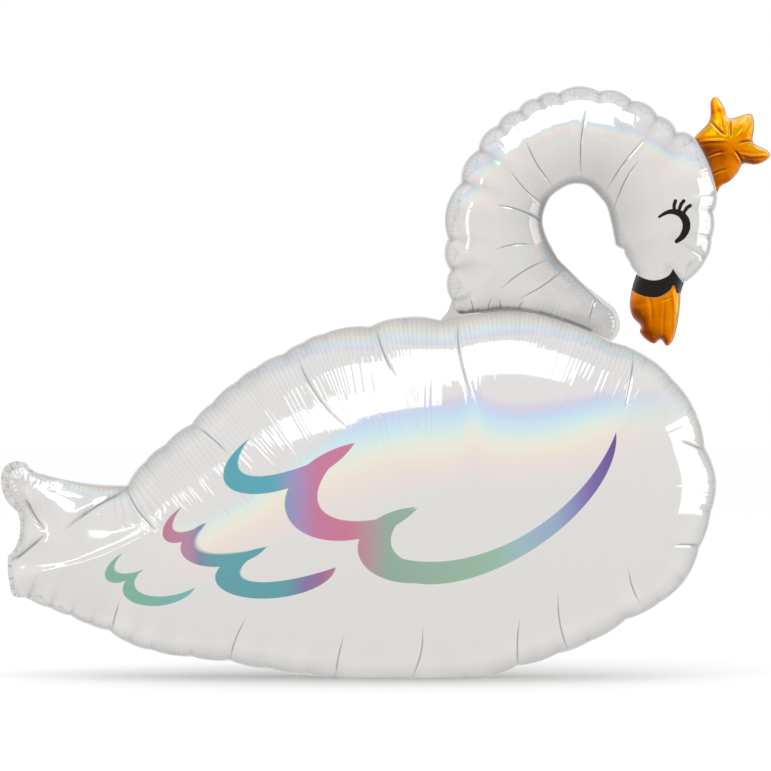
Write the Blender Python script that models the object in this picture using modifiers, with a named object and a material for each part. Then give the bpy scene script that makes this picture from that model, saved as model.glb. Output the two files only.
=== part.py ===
"""Swan foil balloon, blown up and resting on its belly.

Two sheets of foil are welded together along the swan's outline, and three chambers fill out between
them: the body with its tail, the neck with the head and bill, and the crown. Welded lines part the
chambers, and a flat welded rim runs round the outside. The balloon is one welded piece, so it is one
object.

The swan looks along +X and rests on Z = 0. Its two sheets mirror each other across the plane Y = 0.
Outlines are in hundredths of the balloon's length: x from the tail, z up from the lowest point.
"""

import math

import bmesh
import bpy
import numpy as np
from mathutils import Vector
from mathutils.geometry import delaunay_2d_cdt

# Driving sizes, in metres
LENGTH = 0.730
RIM_WIDTH = 0.0025
RIM_THICKNESS = 0.0014
BELLY_CUT = 0.0070

# How full each chamber is blown: at 1 a straight tube is round
BODY_FILL = 0.88
TAIL_FILL = 0.50
TAIL_END = 22.0
NECK_FILL = 0.96
CROWN_FILL = 0.85

# The arcs between two pinches of the seam, and the creases that run in from the pinches
BACK_BULGE = 0.06
BELLY_BULGE = 0.05
NECK_BULGE = 0.15
FACE_BULGE = 0.08
CREASE_DEPTH = 0.30
CREASE_REACH = 0.020

# The facets' size along the seam, in rows beside it, and over the open foil
SEAM_STEP = 0.0105
ROW_DISTANCES = (0.004, 0.0115, 0.022)
OPEN_STEP = 0.0165

FOIL_COLOUR = (0.86, 0.87, 0.88, 1.0)
FOIL_METALLIC = 0.85
FOIL_ROUGHNESS = 0.22

# The outline, anticlockwise from the corner between the back and the neck
BACK = [
    (57.1, 47.5), (52.4, 47.9), (48.0, 46.7), (42.0, 45.8), (39.2, 44.6), (36.8, 43.2), (33.2, 41.4),
    (30.7, 39.6), (27.5, 36.8), (24.9, 34.1), (21.4, 31.4), (18.8, 29.2), (16.5, 26.1),
]
TAIL_TOP = [(16.5, 26.1), (13.0, 26.2), (9.1, 26.7), (5.7, 27.5), (4.3, 28.0), (3.2, 29.1)]
TAIL_TIP = [(3.2, 29.1), (1.8, 29.2), (0.6, 28.5), (0.1, 27.0), (0.3, 25.4), (1.0, 23.9), (2.3, 22.6)]
TAIL_HOLLOW = [(2.3, 22.6), (2.6, 21.3), (2.5, 19.5), (1.9, 17.9), (1.0, 16.9)]
TAIL_TAB = [(1.0, 16.9), (1.0, 15.0), (1.2, 13.5), (1.7, 11.8), (3.5, 11.5)]
BELLY_AND_CHEST = [
    (3.5, 11.5), (6.5, 10.2), (9.2, 9.2), (11.7, 8.0), (14.1, 7.3), (16.6, 5.7), (19.8, 4.7), (24.8, 3.9),
    (29.8, 3.4), (35.0, 2.3), (39.9, 1.6), (43.3, 1.0), (51.6, 0.8), (60.4, 0.9), (67.1, 2.7), (72.4, 4.3),
    (76.4, 5.8), (81.2, 8.7), (85.6, 10.9), (88.8, 13.7), (90.7, 18.0), (92.2, 22.6), (92.9, 26.7),
    (91.4, 31.0), (90.0, 36.1), (87.2, 39.9), (83.9, 42.8), (79.2, 44.7),
]
NECK_FRONT = [
    (79.2, 44.7), (80.0, 45.5), (80.4, 46.7), (80.3, 47.7), (79.8, 48.9), (78.7, 49.9), (77.0, 51.2),
    (75.5, 52.4), (73.9, 54.0), (72.5, 55.4), (71.5, 57.1), (70.8, 58.6), (70.4, 60.2), (70.6, 61.7),
    (71.3, 63.3), (72.4, 64.3), (73.7, 65.0), (75.0, 65.2), (76.3, 64.9), (77.4, 63.9), (78.6, 62.4),
    (79.2, 60.4), (79.6, 58.4), (79.8, 57.3),
]
THROAT = [(79.8, 57.3), (80.9, 56.7), (81.6, 55.1), (82.6, 53.6)]
BILL = [
    (82.6, 53.6), (82.1, 52.1), (81.8, 50.7), (81.7, 49.3), (82.1, 47.9), (83.1, 46.8), (83.0, 46.0),
    (83.7, 45.1), (84.8, 44.5), (85.7, 45.0), (86.5, 44.2), (87.3, 45.0), (87.9, 47.2), (88.2, 49.5),
    (88.3, 51.1), (88.7, 52.4),
]
FACE = [(88.7, 52.4), (91.6, 55.4), (92.3, 58.1), (92.5, 61.5), (93.0, 63.8)]
CROWN = [
    (93.0, 63.8), (93.5, 64.9), (94.7, 65.6), (95.7, 66.7), (96.4, 67.8), (97.9, 67.7), (99.1, 68.1),
    (99.9, 68.9), (99.4, 69.6), (97.7, 70.6), (97.8, 72.4), (97.7, 73.8), (97.1, 74.3), (94.6, 73.7),
    (93.9, 75.2), (93.0, 76.4), (92.2, 75.9), (92.0, 73.4), (90.0, 71.2),
]
NAPE = [
    (90.0, 71.2), (87.8, 71.9), (85.3, 74.1), (82.0, 76.0), (77.7, 77.2), (72.4, 77.0), (69.6, 76.3),
    (67.2, 74.8), (64.5, 72.8), (62.0, 69.6), (59.8, 65.4), (58.1, 58.1), (58.4, 54.0), (58.6, 50.1),
    (57.1, 47.5),
]

# The welded lines between the chambers, from rim to rim
NECK_WELD = [
    (58.6, 50.1), (60.2, 48.5), (62.6, 48.6), (66.1, 48.9), (69.6, 48.6), (73.2, 47.7), (76.5, 46.3), (79.2, 44.7),
]
BODY_WELD = [(57.1, 47.5), (62.0, 48.0), (66.1, 48.0), (70.4, 47.6), (73.9, 46.7), (77.3, 45.3), (79.2, 44.7)]
CROWN_WELD = [(90.0, 71.2), (91.2, 69.0), (92.1, 66.9), (93.0, 63.8)]

# A place inside each chamber
IN_BODY = (50.0, 25.0)
IN_NECK = (65.0, 60.0)
IN_CROWN = (95.0, 70.0)


def metres(points):
    """Points in metres from hundredths of the length."""
    return np.array(points, float) * LENGTH / 100


def scalloped(pinches, bulge):
    """Arcs that swell outwards from pinch to pinch, and which points are pinches."""
    ends = metres(pinches)
    found, pinched = [], []
    for start, end in zip(ends[:-1], ends[1:]):
        along = end - start
        chord = math.hypot(*along)
        outwards = np.array([along[1], -along[0]])
        count = max(2, round(chord / SEAM_STEP))
        for i in range(count):
            share = i / count
            found.append(start + along * share + outwards * bulge * 4 * share * (1 - share))
            pinched.append(i == 0)
    return found, pinched


def smooth(corners):
    """A smooth curve through the points, with no pinches on it."""
    points = metres(corners)
    points = np.vstack([2 * points[0] - points[1], points, 2 * points[-1] - points[-2]])
    found = []
    for a, b, c, d in zip(points[:-3], points[1:-2], points[2:-1], points[3:]):
        count = max(1, round(math.hypot(*(c - b)) / SEAM_STEP))
        for i in range(count):
            t = i / count
            curve = 2 * b + (c - a) * t + (2 * a - 5 * b + 4 * c - d) * t**2 + (3 * b - a - 3 * c + d) * t**3
            found.append(curve / 2)
    return found, [False] * len(found)


def outline():
    """The rim's outer edge as a closed line, and which of its points are pinches."""
    runs = [
        scalloped(BACK, BACK_BULGE), smooth(TAIL_TOP), smooth(TAIL_TIP), smooth(TAIL_HOLLOW), smooth(TAIL_TAB),
        scalloped(BELLY_AND_CHEST, BELLY_BULGE), smooth(NECK_FRONT), scalloped(THROAT, FACE_BULGE),
        smooth(BILL), scalloped(FACE, FACE_BULGE), smooth(CROWN), scalloped(NAPE, NECK_BULGE),
    ]
    points = np.array([point for run, _ in runs for point in run])
    pinched = np.array([mark for _, marks in runs for mark in marks])
    return points, pinched


def shifted(line, distance, closed):
    """The line moved to its left, which is inwards on the outline."""
    along = np.roll(line, -1, 0) - np.roll(line, 1, 0) if closed else np.gradient(line, axis=0)
    along /= np.hypot(along[:, 0], along[:, 1])[:, None]
    return line + np.column_stack([-along[:, 1], along[:, 0]]) * distance


def distances(points, starts, ends):
    """Each point's distance to the nearest of the segments."""
    along = ends - starts
    away = points[:, None, :] - starts[None, :, :]
    share = (away * along).sum(2) / (along * along).sum(1)
    away -= np.clip(share, 0, 1)[:, :, None] * along
    return np.sqrt((away**2).sum(2).min(1))


def inside(points, line):
    """Whether each point is inside the closed line."""
    starts, ends = line, np.roll(line, -1, 0)
    x, z = points[:, 0, None], points[:, 1, None]
    spans = (starts[:, 1] > z) != (ends[:, 1] > z)
    rise = np.where(spans, ends[:, 1] - starts[:, 1], 1)
    crossing = starts[:, 0] + (z - starts[:, 1]) * (ends[:, 0] - starts[:, 0]) / rise
    return (spans & (x < crossing)).sum(1) % 2 == 1


def open_grid(line):
    """Points in staggered rows over the area of the line."""
    low, high = line.min(0), line.max(0)
    rise = OPEN_STEP * math.sqrt(3) / 2
    found = []
    for row in range(math.ceil((high[1] - low[1]) / rise)):
        stagger = OPEN_STEP / 2 * (row % 2)
        for column in range(math.ceil((high[0] - low[0]) / OPEN_STEP)):
            found.append((low[0] + stagger + column * OPEN_STEP, low[1] + row * rise))
    return np.array(found)


def free_points(rim, seam, pinched, welds):
    """Rows of points beside the seam and the welds, and the open foil's points between them."""
    lines = [np.vstack([seam, seam[:1]])] + welds
    starts = np.vstack([line[:-1] for line in lines])
    ends = np.vstack([line[1:] for line in lines])
    kept, creased = np.empty((0, 2)), []
    groups = []
    for distance in ROW_DISTANCES:
        groups.append((shifted(seam, distance, True), pinched, 0.9 * distance, ROW_DISTANCES[0]))
        for weld in welds:
            for side in (distance, -distance):
                none = np.zeros(len(weld), bool)
                groups.append((shifted(weld, side, False), none, 0.9 * distance, ROW_DISTANCES[0]))
    grid = open_grid(rim)
    clear = ROW_DISTANCES[-1] + OPEN_STEP / 2
    groups.append((grid, np.zeros(len(grid), bool), clear, OPEN_STEP / 2))
    for points, marks, clearance, gap in groups:
        good = inside(points, rim) & (distances(points, starts, ends) >= clearance)
        for point, mark in zip(points[good], marks[good]):
            if not len(kept) or np.hypot(*(kept - point).T).min() >= gap:
                kept = np.vstack([kept, point])
                creased.append(mark)
    return kept, np.array(creased), distances(kept, starts, ends)


def triangulated(rim, seam, welds, free):
    """The sheet's points and triangles, and each point's place in the list of free points or -1."""
    fixed = [rim, seam] + welds
    corners, edges = [], []
    for number, line in enumerate(fixed):
        first, count = len(corners), len(line)
        corners += [Vector(point) for point in line]
        edges += [(first + i, first + i + 1) for i in range(count - 1)]
        if number < 2:
            edges.append((first + count - 1, first))
    first_free = len(corners)
    corners += [Vector(point) for point in free]
    inside_edges = 1
    points, _, faces, sources, _, _ = delaunay_2d_cdt(corners, edges, [], inside_edges, 1e-7)
    place = [max(source, default=-1) - first_free for source in sources]
    return np.array([tuple(p) for p in points]), np.array(faces), np.maximum(np.array(place), -1)


def chamber_round(seed, points, triangles, free):
    """Which free points share a chamber with the free point nearest to the seed."""
    edges = np.vstack([triangles[:, (0, 1)], triangles[:, (1, 2)], triangles[:, (2, 0)]])
    a, b = edges[free[edges].all(1)].T
    gaps = np.hypot(*(points - metres(seed)).T)
    found = np.zeros(len(points), bool)
    found[np.argmin(np.where(free, gaps, np.inf))] = True
    while True:
        grown = found.copy()
        grown[a[found[b]]] = True
        grown[b[found[a]]] = True
        if (grown == found).all():
            return found
        found = grown


def blown_depth(points, triangles, free):
    """How far each free point of the sheet stands off its plane.

    Under an even load a flat membrane takes the shape of a parabola across a straight tube, and the
    square root of that is a half circle. Points on the rim, the seam and the welds stay at 0.
    """
    count = len(points)
    stiffness = np.zeros((count, count))
    load = np.zeros(count)
    for i, j, k in ((0, 1, 2), (1, 2, 0), (2, 0, 1)):
        a, b, c = points[triangles[:, i]], points[triangles[:, j]], points[triangles[:, k]]
        to_a, to_b = a - c, b - c
        doubled_area = np.abs(to_a[:, 0] * to_b[:, 1] - to_a[:, 1] * to_b[:, 0])
        weight = (to_a * to_b).sum(1) / doubled_area / 2
        p, q = triangles[:, i], triangles[:, j]
        np.add.at(stiffness, (p, p), weight)
        np.add.at(stiffness, (q, q), weight)
        np.add.at(stiffness, (p, q), -weight)
        np.add.at(stiffness, (q, p), -weight)
        np.add.at(load, p, doubled_area / 6)
    sag = np.zeros(count)
    sag[free] = np.linalg.solve(stiffness[np.ix_(free, free)], 2 * load[free])
    return np.sqrt(np.maximum(sag, 0))


def body_fill(x):
    """The body's fill, which grows from the flat tail onwards."""
    share = np.clip(x / (TAIL_END * LENGTH / 100), 0, 1)
    return TAIL_FILL + (BODY_FILL - TAIL_FILL) * share**2 * (3 - 2 * share)


def front_sheet():
    """The sheet's points and triangles in the plane, and how far each point stands off the plane."""
    rim, pinched = outline()
    seam = shifted(rim, RIM_WIDTH, True)
    welds = [np.vstack([smooth(line)[0], metres(line[-1:])]) for line in (NECK_WELD, BODY_WELD, CROWN_WELD)]
    loose, creased, off_seam = free_points(rim, seam, pinched, welds)
    points, triangles, place = triangulated(rim, seam, welds, loose)
    free = place >= 0
    fill = np.zeros(len(points))
    fill[chamber_round(IN_NECK, points, triangles, free)] = NECK_FILL
    fill[chamber_round(IN_CROWN, points, triangles, free)] = CROWN_FILL
    body = chamber_round(IN_BODY, points, triangles, free)
    fill[body] = body_fill(points[body, 0])
    depth = RIM_THICKNESS / 2 + fill * blown_depth(points, triangles, free)
    crease = CREASE_DEPTH * creased * np.exp(-off_seam / CREASE_REACH)
    depth[free] *= 1 - crease[place[free]]
    return points, triangles, depth


def foil_material():
    material = bpy.data.materials.new("foil")
    material.use_nodes = True
    shader = material.node_tree.nodes["Principled BSDF"]
    shader.inputs["Base Color"].default_value = FOIL_COLOUR
    shader.inputs["Metallic"].default_value = FOIL_METALLIC
    shader.inputs["Roughness"].default_value = FOIL_ROUGHNESS
    return material


def make_balloon(collection):
    """One sheet, its rim closed to the plane Y = 0, and the other sheet as its mirror image."""
    points, triangles, depth = front_sheet()
    floor = points[:, 1].min() + BELLY_CUT
    shell = bmesh.new()
    corners = [shell.verts.new((x - LENGTH / 2, -y, z - floor)) for (x, z), y in zip(points, depth)]
    for triangle in triangles:
        shell.faces.new([corners[i] for i in triangle])
    border = [edge for edge in shell.edges if edge.is_boundary]
    wall = bmesh.ops.extrude_edge_only(shell, edges=border)
    for vert in wall["geom"]:
        if isinstance(vert, bmesh.types.BMVert):
            vert.co.y = 0
    bmesh.ops.recalc_face_normals(shell, faces=shell.faces)
    mesh = bpy.data.meshes.new("swan_balloon")
    shell.to_mesh(mesh)
    shell.free()
    mesh.materials.append(foil_material())
    balloon = bpy.data.objects.new("swan_balloon", mesh)
    collection.objects.link(balloon)
    mirror = balloon.modifiers.new("other_sheet", "MIRROR")
    mirror.use_axis = (False, True, False)
    mirror.merge_threshold = 0.00005
    return balloon


def rest_on_floor(balloon, collection):
    """Cuts off what would be below the floor, which leaves the flat patch that carries the balloon."""
    bpy.ops.mesh.primitive_cube_add(size=1, location=(0, 0, -LENGTH / 4))
    cutter = bpy.context.object
    cutter.name = "floor_cutter"
    cutter.scale = (2 * LENGTH, LENGTH, LENGTH / 2)
    cutter.hide_render = True
    cutter.display_type = "WIRE"
    for holder in list(cutter.users_collection):
        holder.objects.unlink(cutter)
    collection.objects.link(cutter)
    cut = balloon.modifiers.new("belly_patch", "BOOLEAN")
    cut.operation = "DIFFERENCE"
    cut.object = cutter


def main():
    for thing in list(bpy.data.objects):
        bpy.data.objects.remove(thing)
    shown = bpy.data.collections.new("swan_foil_balloon")
    cutters = bpy.data.collections.new("cutters")
    for collection in (shown, cutters):
        bpy.context.scene.collection.children.link(collection)
    balloon = make_balloon(shown)
    rest_on_floor(balloon, cutters)


main()
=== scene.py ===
# %% [markdown]
# # A swan foil balloon
# The balloon is two sheets of metallised film, welded together along the swan's outline and blown up. The
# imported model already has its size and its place. This lesson makes the film itself: the full chambers,
# the pleats that gather along the welds, the flat welded rim, the printed feathers, and the rainbow
# sheen. The frame is loaded first, and its box is kept, because the finished swan has to stay inside it.

# %% The frame
import math

import bmesh
import bpy
import numpy as np
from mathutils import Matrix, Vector, noise
from mathutils.geometry import delaunay_2d_cdt
from mathutils.kdtree import KDTree


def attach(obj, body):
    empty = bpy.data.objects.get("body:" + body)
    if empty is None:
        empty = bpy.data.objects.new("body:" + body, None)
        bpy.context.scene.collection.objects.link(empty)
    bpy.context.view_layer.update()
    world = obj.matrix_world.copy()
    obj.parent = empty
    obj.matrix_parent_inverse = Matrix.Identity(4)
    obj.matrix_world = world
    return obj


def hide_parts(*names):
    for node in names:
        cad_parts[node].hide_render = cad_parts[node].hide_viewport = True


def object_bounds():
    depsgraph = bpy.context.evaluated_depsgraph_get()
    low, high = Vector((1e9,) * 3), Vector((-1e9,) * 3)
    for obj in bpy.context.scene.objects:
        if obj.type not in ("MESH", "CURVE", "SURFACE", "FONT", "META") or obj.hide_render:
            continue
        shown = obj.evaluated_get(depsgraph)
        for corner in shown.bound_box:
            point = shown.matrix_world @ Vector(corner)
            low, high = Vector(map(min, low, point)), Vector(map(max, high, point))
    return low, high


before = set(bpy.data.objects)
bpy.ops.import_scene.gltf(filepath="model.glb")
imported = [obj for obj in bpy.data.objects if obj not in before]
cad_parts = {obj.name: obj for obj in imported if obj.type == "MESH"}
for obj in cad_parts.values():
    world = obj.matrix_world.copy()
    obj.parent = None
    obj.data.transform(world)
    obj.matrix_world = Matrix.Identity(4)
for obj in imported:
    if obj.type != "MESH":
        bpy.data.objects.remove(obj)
CAD_LOW, CAD_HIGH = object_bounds()
print("the frame is", [round(side, 4) for side in CAD_HIGH - CAD_LOW], "metres")

# %% [markdown]
# ## The outline
# A foil balloon is designed flat, as one line that the welding tool follows. Drawing that line well
# decides most of the likeness. It could be traced with hundreds of points, but a short list for each
# stretch is easier to read and to correct. Coordinates are hundredths of the balloon's length. Stretches
# where the film gathers are lists of pinches with an arc between each two, and the taut stretches are
# smooth curves.

# %% The outline's stretches
BACK = [
    (57.1, 47.5), (52.4, 47.9), (48.0, 46.7), (42.0, 45.8), (39.2, 44.6), (36.8, 43.2), (33.2, 41.4),
    (30.7, 39.6), (27.5, 36.8), (24.9, 34.1), (21.4, 31.4), (18.8, 29.2), (16.5, 26.1),
]
TAIL_TOP = [(16.5, 26.1), (13.0, 26.2), (9.1, 26.7), (5.7, 27.5), (4.3, 28.0), (3.2, 29.1)]
TAIL_TIP = [(3.2, 29.1), (1.8, 29.2), (0.6, 28.5), (0.1, 27.0), (0.3, 25.4), (1.0, 23.9), (2.3, 22.6)]
TAIL_HOLLOW = [(2.3, 22.6), (2.6, 21.3), (2.5, 19.5), (1.9, 17.9), (1.0, 16.9)]
TAIL_TAB = [(1.0, 16.9), (1.0, 15.0), (1.2, 13.5), (1.7, 11.8), (3.5, 11.5)]
BELLY_AND_CHEST = [
    (3.5, 11.5), (6.5, 10.2), (9.2, 9.2), (11.7, 8.0), (14.1, 7.3), (16.6, 5.7), (19.8, 4.7), (24.8, 3.9),
    (29.8, 3.4), (35.0, 2.3), (39.9, 1.6), (43.3, 1.0), (51.6, 0.8), (60.4, 0.9), (67.1, 2.7), (72.4, 4.3),
    (76.4, 5.8), (81.2, 8.7), (85.6, 10.9), (88.8, 13.7), (90.7, 18.0), (92.2, 22.6), (92.9, 26.7),
    (91.4, 31.0), (90.0, 36.1), (87.2, 39.9), (83.9, 42.8), (79.2, 44.7),
]
NECK_FRONT = [
    (79.2, 44.7), (80.0, 45.5), (80.4, 46.7), (80.3, 47.7), (79.8, 48.9), (78.7, 49.9), (77.0, 51.2),
    (75.5, 52.4), (73.9, 54.0), (72.5, 55.4), (71.5, 57.1), (70.8, 58.6), (70.4, 60.2), (70.6, 61.7),
    (71.3, 63.3), (72.4, 64.3), (73.7, 65.0), (75.0, 65.2), (76.3, 64.9), (77.4, 63.9), (78.6, 62.4),
    (79.2, 60.4), (79.6, 58.4), (79.8, 57.3),
]
THROAT = [(79.8, 57.3), (80.9, 56.7), (81.6, 55.1), (82.6, 53.6)]
BILL = [
    (82.6, 53.6), (82.1, 52.1), (81.8, 50.7), (81.7, 49.3), (82.1, 47.9), (83.1, 46.8), (83.0, 46.0),
    (83.7, 45.1), (84.8, 44.5), (85.7, 45.0), (86.5, 44.2), (87.3, 45.0), (87.9, 47.2), (88.2, 49.5),
    (88.3, 51.1), (88.7, 52.4),
]
FACE = [(88.7, 52.4), (91.6, 55.4), (92.3, 58.1), (92.5, 61.5), (93.0, 63.8)]
CROWN = [
    (93.0, 63.8), (93.5, 64.9), (94.7, 65.6), (95.7, 66.7), (96.4, 67.8), (97.9, 67.7), (99.1, 68.1),
    (99.9, 68.9), (99.4, 69.6), (97.7, 70.6), (97.8, 72.4), (97.7, 73.8), (97.1, 74.3), (94.6, 73.7),
    (93.9, 75.2), (93.0, 76.4), (92.2, 75.9), (92.0, 73.4), (90.0, 71.2),
]
NAPE = [
    (90.0, 71.2), (87.8, 71.9), (85.3, 74.1), (82.0, 76.0), (77.7, 77.2), (72.4, 77.0), (69.6, 76.3),
    (67.2, 74.8), (64.5, 72.8), (62.0, 69.6), (59.8, 65.4), (58.1, 58.1), (58.4, 54.0), (58.6, 50.1),
    (57.1, 47.5),
]
BASE_WELD = [(62.6, 48.5), (66.1, 48.75), (69.6, 48.4), (73.2, 47.35), (76.5, 46.1), (79.2, 44.7)]
NECK_WELD = [(58.6, 50.1), (58.75, 49.1), (59.6, 48.3), (60.8, 48.35)] + BASE_WELD
BODY_WELD = [(57.1, 47.5), (59.8, 48.1)] + BASE_WELD
CROWN_WELD = [(90.0, 71.2), (91.2, 69.0), (92.1, 66.9), (93.0, 63.8)]
print("the outline has", len(BACK + BELLY_AND_CHEST + THROAT + FACE + NAPE), "pinches")

# %% [markdown]
# Each stretch becomes a fine line of points. An arc between two pinches is a parabola, and a smooth
# stretch is a Catmull-Rom curve, which passes through every point of its list. Each line is kept together
# with the width of the flat rim beside it, in millimetres. The outline is then fitted to the frame: its
# width sets the scale, and its top sets the height.

# %% Fine lines from short lists
FINE_STEP = 0.03


def scalloped(pinches, bulge):
    """Points of arcs that swell outwards between pinches."""
    ends = np.array(pinches, float)
    found = []
    for start, end in zip(ends[:-1], ends[1:]):
        along = end - start
        outwards = np.array([along[1], -along[0]])
        share = np.arange(0, 1, FINE_STEP / math.hypot(*along))[:, None]
        found.append(start + along * share + outwards * bulge * 4 * share * (1 - share))
    return np.vstack(found)


def smooth(corners, step=FINE_STEP):
    """Points of a smooth curve through the corners, which may have more columns than two."""
    points = np.array(corners, float)
    points = np.vstack([2 * points[0] - points[1], points, 2 * points[-1] - points[-2]])
    found = []
    for a, b, c, d in zip(points[:-3], points[1:-2], points[2:-1], points[3:]):
        t = np.arange(0, 1, step / math.hypot(*(c - b)[:2]))[:, None]
        square, cube = 2 * a - 5 * b + 4 * c - d, 3 * b - a - 3 * c + d
        found.append((2 * b + (c - a) * t + square * t**2 + cube * t**3) / 2)
    return np.vstack(found)


STRETCHES = {
    "back": (scalloped(BACK, 0.06), 1.5),
    "tail_top": (smooth(TAIL_TOP), 1.6),
    "tail_tip": (smooth(TAIL_TIP), 7.0),
    "tail_hollow": (smooth(TAIL_HOLLOW), 2.5),
    "tail_tab": (smooth(TAIL_TAB), 4.0),
    "belly_and_chest": (scalloped(BELLY_AND_CHEST, 0.05), 1.5),
    "neck_foot": (smooth(NECK_FRONT[:7]), 4.0),
    "neck_front": (smooth(NECK_FRONT[6:]), 0.9),
    "throat": (scalloped(THROAT, 0.08), 1.2),
    "bill": (smooth(BILL), 0.7),
    "face": (scalloped(FACE, 0.08), 1.6),
    "crown": (smooth(CROWN), 0.5),
    "nape": (scalloped(NAPE[:-1], 0.15), 2.0),
}
ROUND_BODY = ("back", "tail_top", "tail_tip", "tail_hollow", "tail_tab", "belly_and_chest")


def stretches(*names):
    """The named stretches, each with its width of rim in millimetres."""
    return [STRETCHES[name] for name in names]


WHOLE = np.vstack([
    *(line for line, _ in stretches(*ROUND_BODY)), smooth(NECK_FRONT),
    *(line for line, _ in stretches("throat", "bill", "face", "crown", "nape")),
    smooth([NAPE[-2], (58.1, 48.7), NAPE[-1]]),
])
UNIT = (CAD_HIGH.x - CAD_LOW.x) / (WHOLE[:, 0].max() - WHOLE[:, 0].min())
LEFT = CAD_LOW.x - WHOLE[:, 0].min() * UNIT
FLOOR = CAD_HIGH.z - WHOLE[:, 1].max() * UNIT


def placed(points):
    """Metres in the frame, in x and z, from hundredths of the length."""
    return np.array(points, float) * UNIT + (LEFT, FLOOR)


print("one hundredth is", round(UNIT * 1000, 3), "mm, and zero height lies at", round(FLOOR * 1000, 2), "mm")

# %% [markdown]
# ## Even steps along a weld
# Each chamber is closed by its own weld: its stretch of the outline, and the line that parts it from its
# neighbour. The weld has to be stepped evenly, because its points carry the pleats, and a pleat is only a
# few steps wide. A flat rim is left outside the weld, and its width changes from stretch to stretch.
# Between two chambers there is hardly any rim.

# %% Each chamber's weld
MM = 0.001
RIM_BLEND = 0.012
INNER_RIM = 0.3
CLEAR_SHARE = 0.93


def stepped(line, step):
    """The closed line in even steps, with whatever columns it has, and the distance along it."""
    closed = np.vstack([line, line[:1]])
    run = np.concatenate([[0], np.cumsum(np.hypot(*np.diff(closed[:, :2], axis=0).T))])
    count = round(run[-1] / step)
    along = np.arange(count) * run[-1] / count
    return np.column_stack([np.interp(along, run, column) for column in closed.T]), along, run[-1]


def inwards(line, reach=3):
    """Unit vectors to the left of the closed line, from neighbours a few steps away."""
    along = np.roll(line, -reach, 0) - np.roll(line, reach, 0)
    along /= np.hypot(along[:, 0], along[:, 1])[:, None]
    return np.column_stack([-along[:, 1], along[:, 0]])


def tree_of(line):
    """A search tree over the points of a line."""
    tree = KDTree(len(line))
    for i, (x, z) in enumerate(line):
        tree.insert((x, z, 0), i)
    tree.balance()
    return tree


def inset(line, distance):
    """The closed line moved inwards, without the points that would fold over at a tight corner."""
    moved = line + inwards(line) * distance[:, None]
    tree = tree_of(line)
    clear = np.array([tree.find((x, z, 0))[2] for x, z in moved]) > CLEAR_SHARE * distance
    return moved[clear]


def weld_of(*sides):
    """The closed weld of a chamber from its sides, each with its own width of rim in millimetres."""
    wide = np.vstack([np.column_stack([placed(line), np.full(len(line), rim * MM)]) for line, rim in sides])
    line, _, _ = stepped(wide, MM)
    reach = round(RIM_BLEND / MM)
    width = np.concatenate([line[-reach:, 2], line[:, 2], line[:reach, 2]])
    width = np.convolve(width, np.ones(2 * reach + 1) / (2 * reach + 1), "valid")
    return inset(line[:, :2], width)


WELDS = {
    "body": weld_of(*stretches(*ROUND_BODY), (smooth(BODY_WELD[::-1]), INNER_RIM)),
    "neck": weld_of(
        *stretches("neck_foot", "neck_front", "throat", "bill", "face"), (smooth(CROWN_WELD[::-1]), 1.0),
        *stretches("nape"), (smooth(NECK_WELD), INNER_RIM),
    ),
    "crown": weld_of(*stretches("crown"), (smooth(CROWN_WELD), 0.7)),
}
for name, line in WELDS.items():
    print(name, "weld has", len(line), "points over", np.ptp(line, axis=0).round(3), "metres")
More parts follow.
